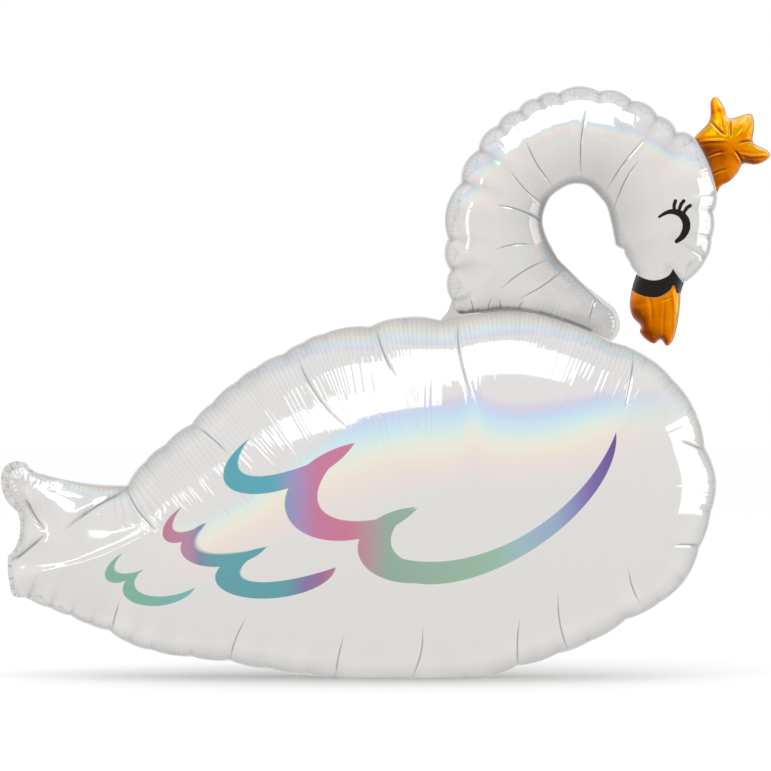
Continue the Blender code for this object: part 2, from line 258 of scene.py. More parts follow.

# %% [markdown]
# ## Folds that are named one by one
# The longest folds are the ones that a person would recognise on this balloon, so they are listed one by
# one: where each starts and ends, its depth and its width in millimetres. They come before the mesh,
# because the mesh needs narrow strips of points along them. The tail is crumpled all over, because its
# chamber is narrow and only half full.

# %% The list of folds
BOW = 0.06
STRIP_STEP = 0.0014
STRIP_ROWS = (-3.2, -2, -1.2, -0.6, 0, 0.6, 1.2, 2, 3.2)
FOLDS = {
    "body": [
        ((38.9, 42.2), (45.0, 33.7), 1.1, 1.2), ((48.8, 46.3), (51.4, 39.9), 1.0, 1.2),
        ((59.2, 47.0), (61.5, 36.3), 1.1, 1.2), ((25.9, 33.7), (30.2, 30.2), 0.9, 1.1),
        ((16.6, 25.8), (21.4, 20.2), 1.2, 1.3), ((82.0, 42.9), (80.3, 36.0), 0.9, 1.2),
        ((91.1, 30.9), (87.5, 32.2), 1.1, 1.2), ((90.7, 18.3), (86.6, 18.6), 1.1, 1.2),
        ((73.5, 5.0), (71.9, 13.0), 0.9, 1.1), ((67.1, 3.1), (67.1, 9.7), 0.8, 1.1),
        ((82.5, 11.4), (80.9, 15.8), 0.9, 1.1), ((43.6, 1.9), (44.7, 7.3), 0.8, 1.1),
        ((53.6, 1.9), (54.7, 8.6), 0.8, 1.1), ((30.1, 4.2), (32.3, 9.5), 0.8, 1.1),
        ((14.7, 7.7), (16.0, 11.5), 0.9, 1.1), ((16.5, 25.8), (8.6, 20.4), 1.6, 2.6),
        ((3.4, 24.4), (6.2, 20.4), 1.6, 2.4), ((1.4, 16.4), (6.4, 20.0), 2.2, 2.4),
        ((2.6, 14.6), (21.2, 20.9), -2.0, 3.4), ((4.0, 27.4), (5.6, 21.2), -1.2, 2.2),
        ((5.8, 26.4), (15.4, 25.6), -1.2, 2.4),
    ],
    "neck": [
        ((68.2, 70.0), (71.7, 64.7), 1.0, 1.1), ((75.9, 74.6), (75.3, 65.6), 1.0, 1.1),
        ((83.0, 70.4), (78.4, 64.1), 0.9, 1.1), ((64.4, 62.2), (70.6, 60.0), 0.9, 1.1),
        ((64.4, 56.6), (69.2, 57.2), 0.7, 1.0), ((65.2, 51.8), (71.0, 55.4), 0.8, 1.1),
        ((67.6, 50.4), (73.0, 54.2), 0.7, 1.1), ((82.2, 67.6), (79.4, 61.6), 0.7, 1.0),
        ((66.2, 66.4), (70.6, 62.2), 0.5, 0.9),
        ((87.2, 46.0), (87.0, 51.4), -0.9, 1.1), ((83.9, 50.6), (84.3, 46.4), 0.9, 1.4),
        ((85.6, 49.9), (87.2, 50.6), 0.7, 0.8), ((85.9, 45.6), (86.1, 50.8), 0.6, 1.0),
        ((77.2, 50.2), (76.3, 47.3), 0.8, 1.0), ((61.4, 48.6), (60.9, 50.3), 0.6, 0.8),
        ((63.2, 48.8), (63.6, 50.5), 0.5, 0.7), ((65.0, 48.9), (64.7, 50.2), 0.5, 0.8),
        ((67.2, 48.8), (67.8, 50.0), 0.4, 0.7),
    ],
    "crown": [
        ((92.1, 73.2), (94.0, 71.2), 1.5, 1.0), ((94.6, 73.4), (94.6, 70.8), 1.7, 1.0),
        ((97.6, 70.7), (95.4, 70.2), 1.7, 1.0), ((96.2, 67.8), (95.0, 69.4), 1.3, 1.0),
        ((91.6, 68.6), (93.8, 69.2), 1.0, 0.9), ((92.4, 66.4), (94.2, 67.0), 0.9, 0.9),
        ((93.0, 75.6), (93.7, 71.6), -1.4, 1.0), ((99.4, 68.9), (95.6, 69.0), -1.4, 1.0),
        ((97.2, 73.9), (95.2, 71.0), -1.4, 1.0), ((90.8, 70.6), (94.4, 70.6), -1.0, 1.1),
    ],
}


def bowed(start, end, share):
    """Points of a fold that bows a little to one side, at these shares of its length."""
    first, last = placed([start, end])
    along = last - first
    bow = BOW * math.sin(9 * start[0]) * 4 * share * (1 - share)
    return first + along * share + np.array([-along[1], along[0]]) * bow, along


def along_fold(points, start, end):
    """How far along a fold each point lies, from 0 to 1, and how far off it."""
    first, last = placed([start, end])
    share = np.clip(((points - first) @ (last - first)) / ((last - first) ** 2).sum(), 0, 1)
    line, _ = bowed(start, end, share[:, None])
    return share, np.hypot(*(points - line).T)


def fold_points(start, end, wide):
    """Close rows of points beside a fold, so that the mesh can bend sharply there."""
    first, last = placed([start, end])
    share = np.arange(0, 1, STRIP_STEP / math.hypot(*(last - first)))[:, None]
    line, along = bowed(start, end, share)
    across = np.array([-along[1], along[0]]) / math.hypot(*along) * wide * MM
    return np.vstack([line + across * off for off in STRIP_ROWS])


print("folds by hand:", {name: len(folds) for name, folds in FOLDS.items()})

# %% [markdown]
# ## A flat mesh for each chamber
# The blown shape rises almost upright from the weld and is nearly level in the middle, so the mesh needs
# rows close together beside the weld and can be open further in. A plain grid would cut the pleats at an
# angle. Rows that run beside the weld keep a point of each row on the same pleat, and a Delaunay
# triangulation joins the rows to the open middle.

# %% Rows beside the weld and an open middle
FOLD_START = 0.0015
ROW_SHARE = 0.96
MIDDLE_ROOM = 0.6
MERGE_GAP = 1e-7


def triangulated(points, edges):
    """Corners and triangles between the points that keep the edges, and the points each corner comes from."""
    found = delaunay_2d_cdt([Vector(point) for point in points], edges, [], 1, MERGE_GAP)
    corners, _, faces, sources, _, _ = found
    return np.array([tuple(corner) for corner in corners]), np.array(faces), sources


def off_folds(points, folds, room):
    """Which points lie clear of the close rows beside every fold."""
    clear = np.ones(len(points), bool)
    for start, end, _, wide in folds:
        clear &= along_fold(points, start, end)[1] > STRIP_ROWS[-1] * wide * MM + room
    return clear


def flat_mesh(line, step, rows, open_step, folds):
    """Points, triangles, places along the weld, distances from it, its length, and which points lie on it."""
    weld, along, length = stepped(line, step)
    tree = tree_of(weld)
    aim = inwards(weld)

    def beside(points):
        """The place along the weld nearest to each point, and its distance."""
        found = [tree.find((x, z, 0)) for x, z in points]
        near = np.array([index for _, index, _ in found])
        ahead = np.column_stack([aim[near, 1], -aim[near, 0]])
        return along[near] + ((points - weld[near]) * ahead).sum(1), np.array([gap for _, _, gap in found])

    points, places, gaps = [weld], [along], [np.zeros(len(weld))]
    for distance in rows:
        row = weld + aim * distance
        clear = off_folds(row, folds, step / 3) | (distance < FOLD_START)
        keep = (beside(row)[1] > ROW_SHARE * distance) & clear
        points.append(row[keep])
        places.append(along[keep])
        gaps.append(np.full(keep.sum(), distance))
    low, high = weld.min(0), weld.max(0)
    rise = open_step * math.sqrt(3) / 2
    columns = np.arange(low[0], high[0], open_step)
    heights = np.arange(low[1], high[1], rise)
    grid = np.array([(x + open_step / 2 * (j % 2), z) for j, z in enumerate(heights) for x in columns])
    grid = grid[off_folds(grid, folds, open_step / 4)]
    strips = np.vstack([fold_points(start, end, wide) for start, end, _, wide in folds])
    for more, clear in ((grid, rows[-1] + MIDDLE_ROOM * open_step), (strips, FOLD_START)):
        place, gap = beside(more)
        keep = gap > clear
        points.append(more[keep])
        places.append(place[keep])
        gaps.append(gap[keep])
    count = len(weld)
    edges = [(i, (i + 1) % count) for i in range(count)]
    corners, faces, sources = triangulated(np.vstack(points), edges)
    source = np.array([min(s, default=-1) for s in sources])
    used = np.unique(faces)
    new_number = np.full(len(corners), -1)
    new_number[used] = np.arange(len(used))
    source = source[used]
    places, gaps = np.concatenate(places)[source], np.concatenate(gaps)[source]
    return corners[used], new_number[faces], places, gaps, length, source < count


def rows_to(last, count):
    """Distances that widen away from the weld, because the film leaves it almost upright."""
    return last * (np.arange(1, count + 1) / count) ** 2


STEPS = {
    "body": (0.0013, rows_to(0.040, 14), 0.0042),
    "neck": (0.0010, rows_to(0.022, 12), 0.0028),
    "crown": (0.0007, rows_to(0.010, 9), 0.0012),
}
FLAT = {name: flat_mesh(WELDS[name], *steps, FOLDS[name]) for name, steps in STEPS.items()}
for name, (points, faces, *_) in FLAT.items():
    print(name, "has", len(points), "points and", len(faces), "triangles on each sheet")

# %% [markdown]
# ## Blowing the chambers up
# Gas presses evenly on a film that is held along its weld. A cloth simulation could find the shape, but
# it would pull the outline out of place. The membrane equation gives the same fullness directly: it is
# solved on the mesh with conjugate gradients, and the square root of its answer is a half circle across a
# straight tube.

# %% The membrane's depth
FILL = {"body": 0.88, "neck": 0.96, "crown": 1.0}
TAIL_FILL = 0.50
TAIL_END = 22.0
SETTLED = 1e-13
MOST_ROUNDS = 2000
NO_AREA = 1e-14


def blown_depth(points, faces, held):
    """How far each point stands off the sheet's plane under an even load."""
    count = len(points)
    first, second, weights = [], [], []
    load = np.zeros(count)
    for i, j, k in ((0, 1, 2), (1, 2, 0), (2, 0, 1)):
        a, b, c = points[faces[:, i]], points[faces[:, j]], points[faces[:, k]]
        to_a, to_b = a - c, b - c
        doubled_area = np.abs(to_a[:, 0] * to_b[:, 1] - to_a[:, 1] * to_b[:, 0]) + NO_AREA
        first.append(faces[:, i])
        second.append(faces[:, j])
        weights.append((to_a * to_b).sum(1) / doubled_area / 2)
        load += np.bincount(faces[:, i], doubled_area / 6, count)
    first, second, weights = map(np.concatenate, (first, second, weights))
    free = ~held
    spread = np.bincount(first, weights, count) + np.bincount(second, weights, count)

    def stiffness(sag):
        """How hard the film pulls back at each free point."""
        flow = weights * (sag[first] - sag[second])
        return (np.bincount(first, flow, count) - np.bincount(second, flow, count)) * free

    sag = np.zeros(count)
    left_over = 2 * load * free
    guide = left_over / spread
    energy = (left_over * guide).sum()
    heading = guide.copy()
    rounds = 0
    while energy > SETTLED and rounds < MOST_ROUNDS:
        pushed = stiffness(heading)
        stride = energy / (heading * pushed).sum()
        sag += stride * heading
        left_over -= stride * pushed
        guide = left_over / spread
        energy, before = (left_over * guide).sum(), energy
        heading = guide + heading * energy / before
        rounds += 1
    return np.sqrt(np.maximum(sag, 0)), rounds


def tail_share(x):
    """How full the body is along its length: flat at the tail."""
    share = np.clip((x - LEFT) / (TAIL_END * UNIT), 0, 1)
    return TAIL_FILL + (FILL["body"] - TAIL_FILL) * share**2 * (3 - 2 * share)


DEPTH = {}
for name, (points, faces, _, _, _, held) in FLAT.items():
    depth, rounds = blown_depth(points, faces, held)
    DEPTH[name] = depth * (tail_share(points[:, 0]) if name == "body" else FILL[name])
    print(name, "is", round(DEPTH[name].max() * 2000), "mm deep after", rounds, "rounds")

# %% [markdown]
# ## Pleats, beads, creases and dents
# A flat ring of film has too much length for the smaller blown shape, so it gathers. Pleats stand across
# the weld about a centimetre apart, and the named folds cut deeper. Pleats could be painted as a bump
# alone, but then the highlights' edges would stay clean. Here every groove has its own depth, length and
# lean, drawn from a fixed seed.

# %% Grooves across the weld
GROOVES = {"spacing": 0.012, "depth": 0.0005, "reach": 0.055}
GROOVE_START = 0.002


def fading(distance, reach, power=2):
    """1 at no distance, with a smooth fall to nothing beyond the reach."""
    return np.exp(-((distance / reach) ** power))


def grooves(place, gap, length, spacing, depth, reach, seed):
    """Grooves at uneven steps along the weld, each one fading at its own distance."""
    rng = np.random.default_rng(seed)
    count = max(4, round(length / spacing))
    centre = (np.arange(count) + rng.uniform(-0.3, 0.3, count)) * length / count
    deep = depth * rng.uniform(0.35, 1.0, count)
    far = reach * rng.uniform(0.4, 1.3, count)
    lean = rng.normal(0, 0.06, count)
    number = np.round(place / length * count).astype(int) % count
    best = np.full(len(place), np.inf)
    chosen = number.copy()
    for shift in (-1, 0, 1):
        candidate = (number + shift) % count
        off = np.abs((place - centre[candidate] - lean[candidate] * gap + length / 2) % length - length / 2)
        chosen = np.where(off < best, candidate, chosen)
        best = np.minimum(off, best)
    valley = np.cos(np.pi * np.clip(best / spacing, 0, 0.5)) ** 2
    rise = np.clip(gap / GROOVE_START, 0, 1)
    return -deep[chosen] * valley * rise * fading(gap, far[chosen], 1.5)


def crease(points, start, end, depth, width):
    """A fold's height, and the shade painted into its valley: a sharp line, a low shoulder beside it, a wide
    sag.
    """
    share, off = along_fold(points, start, end)
    fade = np.minimum(1, 4 * share + 0.3) * np.minimum(1, 3 * (1 - share))
    off = off / width
    shape = 0.45 * fading(off - 2.1, 1) - fading(off, 1) - 0.75 * fading(off, 8)
    return depth * fade * shape, np.sign(depth) * fade * fading(off, 0.5)


print("grooves and creases are ready")

# %% [markdown]
# Between two pinches of the outline the film swells into a bead, and each pinch is a notch. Where the
# outline is hollow, as along the front of the neck, the film is taut, so the pleats are scaled by how
# much the line turns outwards there. The relief is added along the blown surface's own normal, with
# another seed on each sheet, so the two sides of the swan aren't copies of each other. Shade is painted
# into the film with the relief: every valley and notch, the beads and their edges, the inside of the
# neck's loop and the weld at the neck's base are painted darker, because film that folds on itself, or
# faces more of the swan, mirrors only more film.

# %% The relief of one sheet
PLEATS = {"body": 1.0, "neck": 0.8, "crown": 0.45}
BEND_STEPS = 17
PINCH_REACH = 0.008


def bend_share(weld):
    """From 0 on a hollow stretch of the weld to 1 on a rounded one."""
    steps = BEND_STEPS
    ahead, behind = np.roll(weld, -steps, 0) - weld, weld - np.roll(weld, steps, 0)
    turn = np.arctan2(behind[:, 0] * ahead[:, 1] - behind[:, 1] * ahead[:, 0], (ahead * behind).sum(1))
    rounded = np.clip(turn / 0.35 + 0.55, 0.08, 1)
    window = np.ones(2 * steps + 1) / (2 * steps + 1)
    return np.convolve(np.concatenate([rounded[-steps:], rounded, rounded[:steps]]), window, "valid")


def pinch_places(weld, pinches):
    """Which points of the weld lie beside a pinch of the outline."""
    gaps = np.hypot(*(weld[None, :, :] - placed(pinches)[:, None, :]).transpose(2, 0, 1))
    return np.unique(gaps.argmin(1)[gaps.min(1) < PINCH_REACH])


BEADS = {"body": (0.016, 0.016), "neck": (0.030, 0.025)}
PINCHES = {"body": BACK[1:] + BELLY_AND_CHEST, "neck": NAPE[:-1] + FACE}
FULL_SPAN, LONGEST_SPAN = 0.05, 0.12
NOTCH_DEPTH, NOTCH_WIDTH, BEAD_EDGE = 0.0011, 0.0016, 0.0012
NOTCH_SHADE, BEAD_SHADE, EDGE_SHADE = 0.45, 0.10, 0.24


def beads(place, film, length, pinches, name):
    """The film swells into a bead between two pinches, and each pinch is a notch; the notch, the bead and its
    edge are painted darker.
    """
    swell, reach = BEADS[name]
    closed = np.append(pinches, pinches[0] + length)
    moved = np.where(place < pinches[0], place + length, place)
    number = np.searchsorted(closed, moved, "right") - 1
    span = closed[number + 1] - closed[number]
    share = (moved - closed[number]) / span
    near = np.minimum(share, 1 - share) * span
    edge = reach * np.sin(np.pi * share) ** 0.5 + 1e-6
    dome = np.maximum(0, 1 - (film / edge) ** 2) ** 0.45
    bead = swell * np.minimum(span, FULL_SPAN) * dome * (span < LONGEST_SPAN)
    notch = fading(near, NOTCH_WIDTH, 1.4) * fading(film, 1.5 * reach)
    rim_of_bead = fading(film - edge, BEAD_EDGE) * (span < LONGEST_SPAN)
    # Painted shade: the notch, the whole bead and the bead's inner edge are painted darker.
    shade = NOTCH_SHADE * notch + BEAD_SHADE * (film < edge) + EDGE_SHADE * rim_of_bead
    return bead - NOTCH_DEPTH * notch, shade


# The welds between the neck and the body, and the strength of the shade painted along them: a dark line, and
# a faint wider band.
BASES = {"neck": NECK_WELD[2:-1], "body": BASE_WELD[:-2]}
BASE_SHADE = {"neck": (1.7, 0.34), "body": (0.4, 0.05)}
DENTS = {"body": (0.0010, 0.075), "neck": (0.0006, 0.030), "crown": (0.0006, 0.030)}
TAIL_DENTS = ((0.0013, 0.034, 0), (0.0002, 0.012, 0.5))
SLACK_END = 18
# Painted shade inside the neck's loop: beside its weld, over a wider band, and on the bend behind the bill.
NECK_SHADE = {"weld": (0.42, 0.0042), "loop": (0.24, 0.032), "turn": (0.38, 0.014, 4)}
RELIEF_START = 0.004
DARKEST = 1.25


def gap_to(points, corners):
    """How far each point lies from the smooth line through the corners, in metres."""
    tree = tree_of(placed(smooth(corners)))
    return np.array([tree.find((x, z, 0))[2] for x, z in points])


def crumple(points, size, seed):
    """Uneven dents of about this size, between -1 and 1."""
    return np.array([noise.noise((x / size, seed, z / size)) for x, z in points])


def relief(name, points, place, gap, depth, length, weld, seed):
    """Height over the blown surface at every point of a sheet, and the shade painted into its valleys, its
    notches, the neck's loop and the neck's base.
    """
    film = np.hypot(gap, depth)
    count = len(weld)
    ready = bend_share(weld)[np.clip((place / length * count).astype(int), 0, count - 1)] * PLEATS[name]
    high = grooves(place, film, length, **GROOVES, seed=seed + 1) * ready
    dark = np.zeros(len(points))
    if name in PINCHES:
        bead, notch = beads(place, film, length, pinch_places(weld, PINCHES[name]) * length / count, name)
        high, dark = high + bead, dark + notch
    # Each fold also paints shade into its valley.
    for start, end, deep, wide in FOLDS[name]:
        fold, valley = crease(points, start, end, deep * MM, wide * MM)
        high, dark = high + fold, dark + valley
    if name == "body":
        slack = np.clip(1 - (points[:, 0] - LEFT) / (SLACK_END * UNIT), 0, 1)
        high += slack * sum(deep * crumple(points, size, seed + shift) for deep, size, shift in TAIL_DENTS)
    deep, size = DENTS[name]
    high += deep * crumple(points, size, seed + 3.0)
    # Painted shade inside the neck's loop: a dark line beside its weld, a wider darker band, and darker film
    # on the bend behind the bill, where the head would hide a side light's reflection.
    if name == "neck":
        front = gap_to(points, NECK_FRONT[4:])
        gaps = {"weld": front, "loop": front, "turn": gap_to(points, NECK_FRONT[9:14])}
        dark += sum(share * fading(gaps[part], *reach) for part, (share, *reach) in NECK_SHADE.items())
    # Painted shade where the neck meets the body: an uneven dark line along the weld, thicker towards the
    # back, with a faint wider shade beside it.
    if name in BASES:
        base = gap_to(points, BASES[name])
        uneven = 0.85 + 0.8 * crumple(points, 0.005, seed)
        thick = 0.0019 + 0.0014 * np.clip((69 * UNIT + LEFT - points[:, 0]) / (5 * UNIT), 0, 1)
        line, near = BASE_SHADE[name]
        dark += line * uneven * fading(base, thick) + near * fading(base, 0.010)
    return high * np.clip(film / RELIEF_START, 0, 1), np.clip(dark, 0, DARKEST)


def normals_of(corners, faces):
    """A unit normal at each corner, from the faces round it."""
    a, b, c = (corners[faces[:, i]] for i in range(3))
    across = np.cross(b - a, c - a)
    total = np.column_stack([
        sum(np.bincount(faces[:, i], across[:, k], len(corners)) for i in range(3)) for k in range(3)
    ])
    return total / (np.linalg.norm(total, axis=1)[:, None] + 1e-12)


print("the relief's shapes are ready")

# %% [markdown]
# ## The chambers
# The front sheet faces the viewer, and the back sheet is turned round behind it. They share the weld's
# points, so each chamber is one closed pillow. A UV map keeps the place along the weld and the distance
# from it, so that the finest lines of the film can follow the weld too. The underside is pressed flat on
# the floor.

# %% Both sheets as one pillow
EVEN_REACH = 0.016
EVEN_STEP = 0.002
TORN_GAP = 0.012


def even_places(points, weld, length):
    """Places along the weld with its scallops smoothed away, so that fine pleats run side by side."""
    count = len(weld)
    reach = round(EVEN_REACH / length * count)
    window = np.ones(2 * reach + 1) / (2 * reach + 1)
    for _ in range(2):
        padded = np.vstack([weld[-reach:], weld, weld[:reach]])
        weld = np.column_stack([np.convolve(column, window, "valid") for column in padded.T])
    line, along, total = stepped(weld, EVEN_STEP)
    tree = tree_of(line)
    near = np.array([tree.find((x, z, 0))[1] for x, z in points])
    aim = inwards(line, 2)[near]
    return along[near] + ((points - line[near]) * np.column_stack([aim[:, 1], -aim[:, 0]])).sum(1), total


def linked(name, data):
    """A new object in the scene."""
    made = bpy.data.objects.new(name, data)
    bpy.context.scene.collection.objects.link(made)
    return made


def shade_folds(mesh, dark):
    """The painted shade of the folds, notches, hollows and welds, kept with the mesh for its material."""
    shade = mesh.attributes.new("fold_shade", "FLOAT", "POINT")
    shade.data.foreach_set("value", dark.astype(np.float32))


def make_chamber(name, title, seed):
    """The chamber's mesh, with the place along the weld and the film's distance from it as its UV map."""
    points, faces, place, gap, length, held = FLAT[name]
    depth = DEPTH[name]
    weld = points[held]
    weld = weld[np.argsort(place[held])]
    count = len(points)
    flat = np.column_stack([points[:, 0], np.zeros(count), points[:, 1]])
    sheets, shades = [], []
    for side in (-1, 1):
        blown = flat + np.outer(depth, (0, side, 0))
        normal = normals_of(blown, faces if side < 0 else faces[:, ::-1])
        high, dark = relief(name, points, place, gap, depth, length, weld, seed + (side + 1) * 10)
        shades.append(dark)
        sheets.append(np.where(held[:, None], flat, blown + normal * high[:, None]))
    back_number = np.where(held, np.arange(count), count + np.cumsum(~held) - 1)
    corners = np.vstack([sheets[0], sheets[1][~held]])
    corners[:, 2] = np.maximum(corners[:, 2], 0.0)
    every_face = np.vstack([faces, back_number[faces][:, ::-1]])
    mesh = bpy.data.meshes.new(title)
    mesh.from_pydata(corners, [], every_face)
    shade_folds(mesh, np.concatenate([shades[0], shades[1][~held]]))
    uv = mesh.uv_layers.new(name="weld_and_distance")
    film = np.hypot(gap, depth)
    place, length = even_places(points, weld, length)
    along = np.concatenate([place, place[~held]])[every_face]
    along = np.where(along.max(1)[:, None] - along > length / 2, along + length, along)
    torn = np.ptp(along, axis=1) > TORN_GAP
    along[torn] = along[torn].mean(1)[:, None]
    away = np.concatenate([film, film[~held]])[every_face]
    uv.data.foreach_set("uv", np.stack([along, away], 2).astype(np.float32).ravel())
    mesh.polygons.foreach_set("use_smooth", np.ones(len(every_face), bool))
    mesh.validate()
    print(title, "has", len(every_face), "triangles")
    return linked(title, mesh)


body = make_chamber("body", "body_chamber", 11)
neck = make_chamber("neck", "neck_and_head_chamber", 23)
crown = make_chamber("crown", "crown_chamber", 37)

# %% [markdown]
# ## The welded rim
# Outside the chambers the two sheets lie flat on each other and are sealed by a hot tool, which leaves a
# thin stiff band. It is what remains of the outline when the chambers are taken out, so it is
# triangulated from the same lines. The band isn't quite flat: it ruffles a little where the film beside
# it gathers.

# %% The flat band outside the chambers
RIM_THICKNESS = 0.0005
RIM_STEP = 0.0016
RUFFLE = 0.0006
NAPE_FOOT = (58.2, 48.9)


def lay_on_floor(verts):
    """Moves the vertices that would be below the floor up to it."""
    for vert in verts:
        vert.co.z = max(vert.co.z, 0.0)


def make_rim():
    """A thin sheet between the outline and the chambers, ruffled across its plane."""
    corners, edges, starts = [], [], []
    for line in (placed(WHOLE), *WELDS.values()):
        loop = stepped(line, RIM_STEP)[0]
        first = len(corners)
        starts.append(first)
        corners += list(loop)
        edges += [(first + i, first + (i + 1) % len(loop)) for i in range(len(loop))]
    flat, faces, sources = triangulated(corners, edges)
    owner = np.array([np.searchsorted(starts, min(s, default=0), "right") - 1 for s in sources])
    inside = (owner[faces].min(1) == owner[faces].max(1)) & (owner[faces].min(1) > 0)
    shell = bmesh.new()
    across = RUFFLE * crumple(flat, 0.006, 3.0)
    verts = [shell.verts.new((x, y, z)) for (x, z), y in zip(flat, across)]
    for face in faces[~inside]:
        shell.faces.new([verts[i] for i in face])
    bmesh.ops.delete(shell, geom=[v for v in shell.verts if not v.link_faces], context="VERTS")
    lay_on_floor(shell.verts)
    mesh = bpy.data.meshes.new("welded_rim")
    at = np.array([(vert.co.x, vert.co.z) for vert in shell.verts])
    shell.to_mesh(mesh)
    shell.free()
    # Painted shade on the rim: a dark line along the weld at the neck's base, a grey patch at the foot of the
    # nape, and the painted shade of crinkles on the tail's rim.
    base, corner = gap_to(at, BASE_WELD[:-1]), np.hypot(*(at - placed(NAPE_FOOT)).T)
    slack = np.clip(1.6 - (at[:, 0] - LEFT) / (6 * UNIT), 0, 1)
    crinkle_shade = slack * np.maximum(0, 0.1 + crumple(at, 0.0024, 9.0))
    shade_folds(mesh, 1.2 * fading(base, 0.0022) + 0.28 * fading(corner, 0.014, 4) + crinkle_shade)
    rim = linked("welded_rim", mesh)
    wall = rim.modifiers.new("thickness", "SOLIDIFY")
    wall.thickness = RIM_THICKNESS
    wall.offset = 0
    print("the rim has", len(mesh.polygons), "triangles before its thickness")
    return rim


rim = make_rim()

# %% [markdown]
# ## Camera, floor and light
# The photo is a straight side view with a long lens, on white. The floor is a wide pale disc. Four large
# soft lights hang above, a small one hangs over the neck, and a tall one stands at each side. Their
# reflections draw the highlights. The pieces don't show in each other's reflections, which would draw
# bands on the body.

# %% Camera
LENS = 197
SENSOR = 36
PHOTO_PIXELS = 771
SWAN_PIXELS = 769.5
TOP_OVER_MIDDLE = 299.5
view_width = (CAD_HIGH.x - CAD_LOW.x) * PHOTO_PIXELS / SWAN_PIXELS
EYE_LEVEL = CAD_HIGH.z - TOP_OVER_MIDDLE * view_width / PHOTO_PIXELS
camera_data = bpy.data.cameras.new("camera")
camera_data.lens = LENS
camera_data.sensor_width = SENSOR
camera = linked("camera", camera_data)
camera.location = (0, -view_width * LENS / SENSOR, EYE_LEVEL)
camera.rotation_euler = (math.pi / 2, 0, 0)
bpy.context.scene.camera = camera
print("the camera is at", [round(v, 3) for v in camera.location])

# %% Floor
bpy.ops.mesh.primitive_circle_add(vertices=96, radius=14, fill_type="NGON", location=(0, 0, -0.0005))
floor = bpy.context.object
floor.name = "floor"
floor_paint = bpy.data.materials.new("floor_paint")
floor_paint.use_nodes = True
shader = floor_paint.node_tree.nodes["Principled BSDF"]
shader.inputs["Base Color"].default_value = (1, 1, 1, 1)
shader.inputs["Roughness"].default_value = 1.0
floor.data.materials.append(floor_paint)
floor.visible_glossy = False
print("the floor is", floor.dimensions.x, "metres across")

# %% Lights
CEILING = 2.5
DOWN = (0, 0, -1)


def softbox(name, centre, aim, width, height, brightness):
    """A flat soft light of an even brightness, which the camera doesn't see."""
    data = bpy.data.lights.new(name, "AREA")
    data.shape = "RECTANGLE"
    data.size, data.size_y = width, height
    data.energy = brightness * math.pi * width * height
    light = linked(name, data)
    light.location = centre
    light.rotation_euler = Vector(aim).to_track_quat("-Z", "Y").to_euler()
    light.visible_camera = False


softbox("ceiling_light", (-0.36, -0.68, CEILING), DOWN, 0.96, 1.24, 0.62)
softbox("ceiling_light_right", (0.72, -0.50, CEILING), DOWN, 1.20, 1.10, 0.62)
softbox("ceiling_light_front", (-0.52, -1.72, CEILING), DOWN, 0.96, 0.84, 0.62)
softbox("ceiling_light_corner", (-1.58, -1.72, CEILING), DOWN, 1.24, 1.24, 0.46)
softbox("right_light", (2.4, 0.75, 0.45), (-1, 0, 0), 1.9, 1.5, 0.50)
softbox("left_light", (-2.4, -0.90, 0.95), (1, 0, 0), 0.35, 1.2, 0.50)
softbox("neck_light", (0.10, -0.115, 0.69), DOWN, 0.32, 0.19, 0.62)
for piece in (body, neck, crown, rim):
    piece.visible_glossy = False
print("four ceiling lights, a small one over the neck and two tall side lights")

# %% [markdown]
# Mirror film shows the whole room. The camera sees plain white, but what the film reflects is a warm
# light grey that darkens behind the swan and under it, which is what gives a silver balloon its shading.

# %% Room
def add(tree, kind, inputs=None, **settings):
    """A node with its settings, and its inputs as values or as links from other nodes."""
    made = tree.nodes.new(kind)
    for key, value in settings.items():
        setattr(made, key, value)
    for key, value in (inputs or {}).items():
        if isinstance(value, bpy.types.NodeSocket):
            tree.links.new(value, made.inputs[key])
        else:
            made.inputs[key].default_value = value
    return made


def home(*values):
    """The node tree of the first socket among the values."""
    return next(value.id_data for value in values if isinstance(value, bpy.types.NodeSocket))


def maths(operation, *values, clamp=False):
    """The result of one sum."""
    inputs = dict(enumerate(values))
    return add(home(*values), "ShaderNodeMath", inputs, operation=operation, use_clamp=clamp).outputs[0]


def parts(vector):
    """The parts of a vector."""
    return add(home(vector), "ShaderNodeSeparateXYZ", {0: vector}).outputs


def clouds(where, scale):
    """A soft noise over the places."""
    inputs = {"Vector": where, "Scale": scale, "Detail": 1.0}
    return add(home(where), "ShaderNodeTexNoise", inputs).outputs["Fac"]


def ramp(factor, stops):
    """A colour for every value of the factor."""
    made = add(home(factor), "ShaderNodeValToRGB", {"Fac": factor})
    elements = made.color_ramp.elements
    for i, (at, colour) in enumerate(stops):
        stop = elements[i] if i < 2 else elements.new(at)
        stop.position = at
        stop.color = (*colour, 1)
    return made.outputs["Color"]


def mixed(factor, first, second, blend="MIX"):
    """Two colours mixed by the factor."""
    inputs = {0: factor, 6: first, 7: second}
    return add(home(*inputs.values()), "ShaderNodeMix", inputs, data_type="RGBA", blend_type=blend).outputs[2]


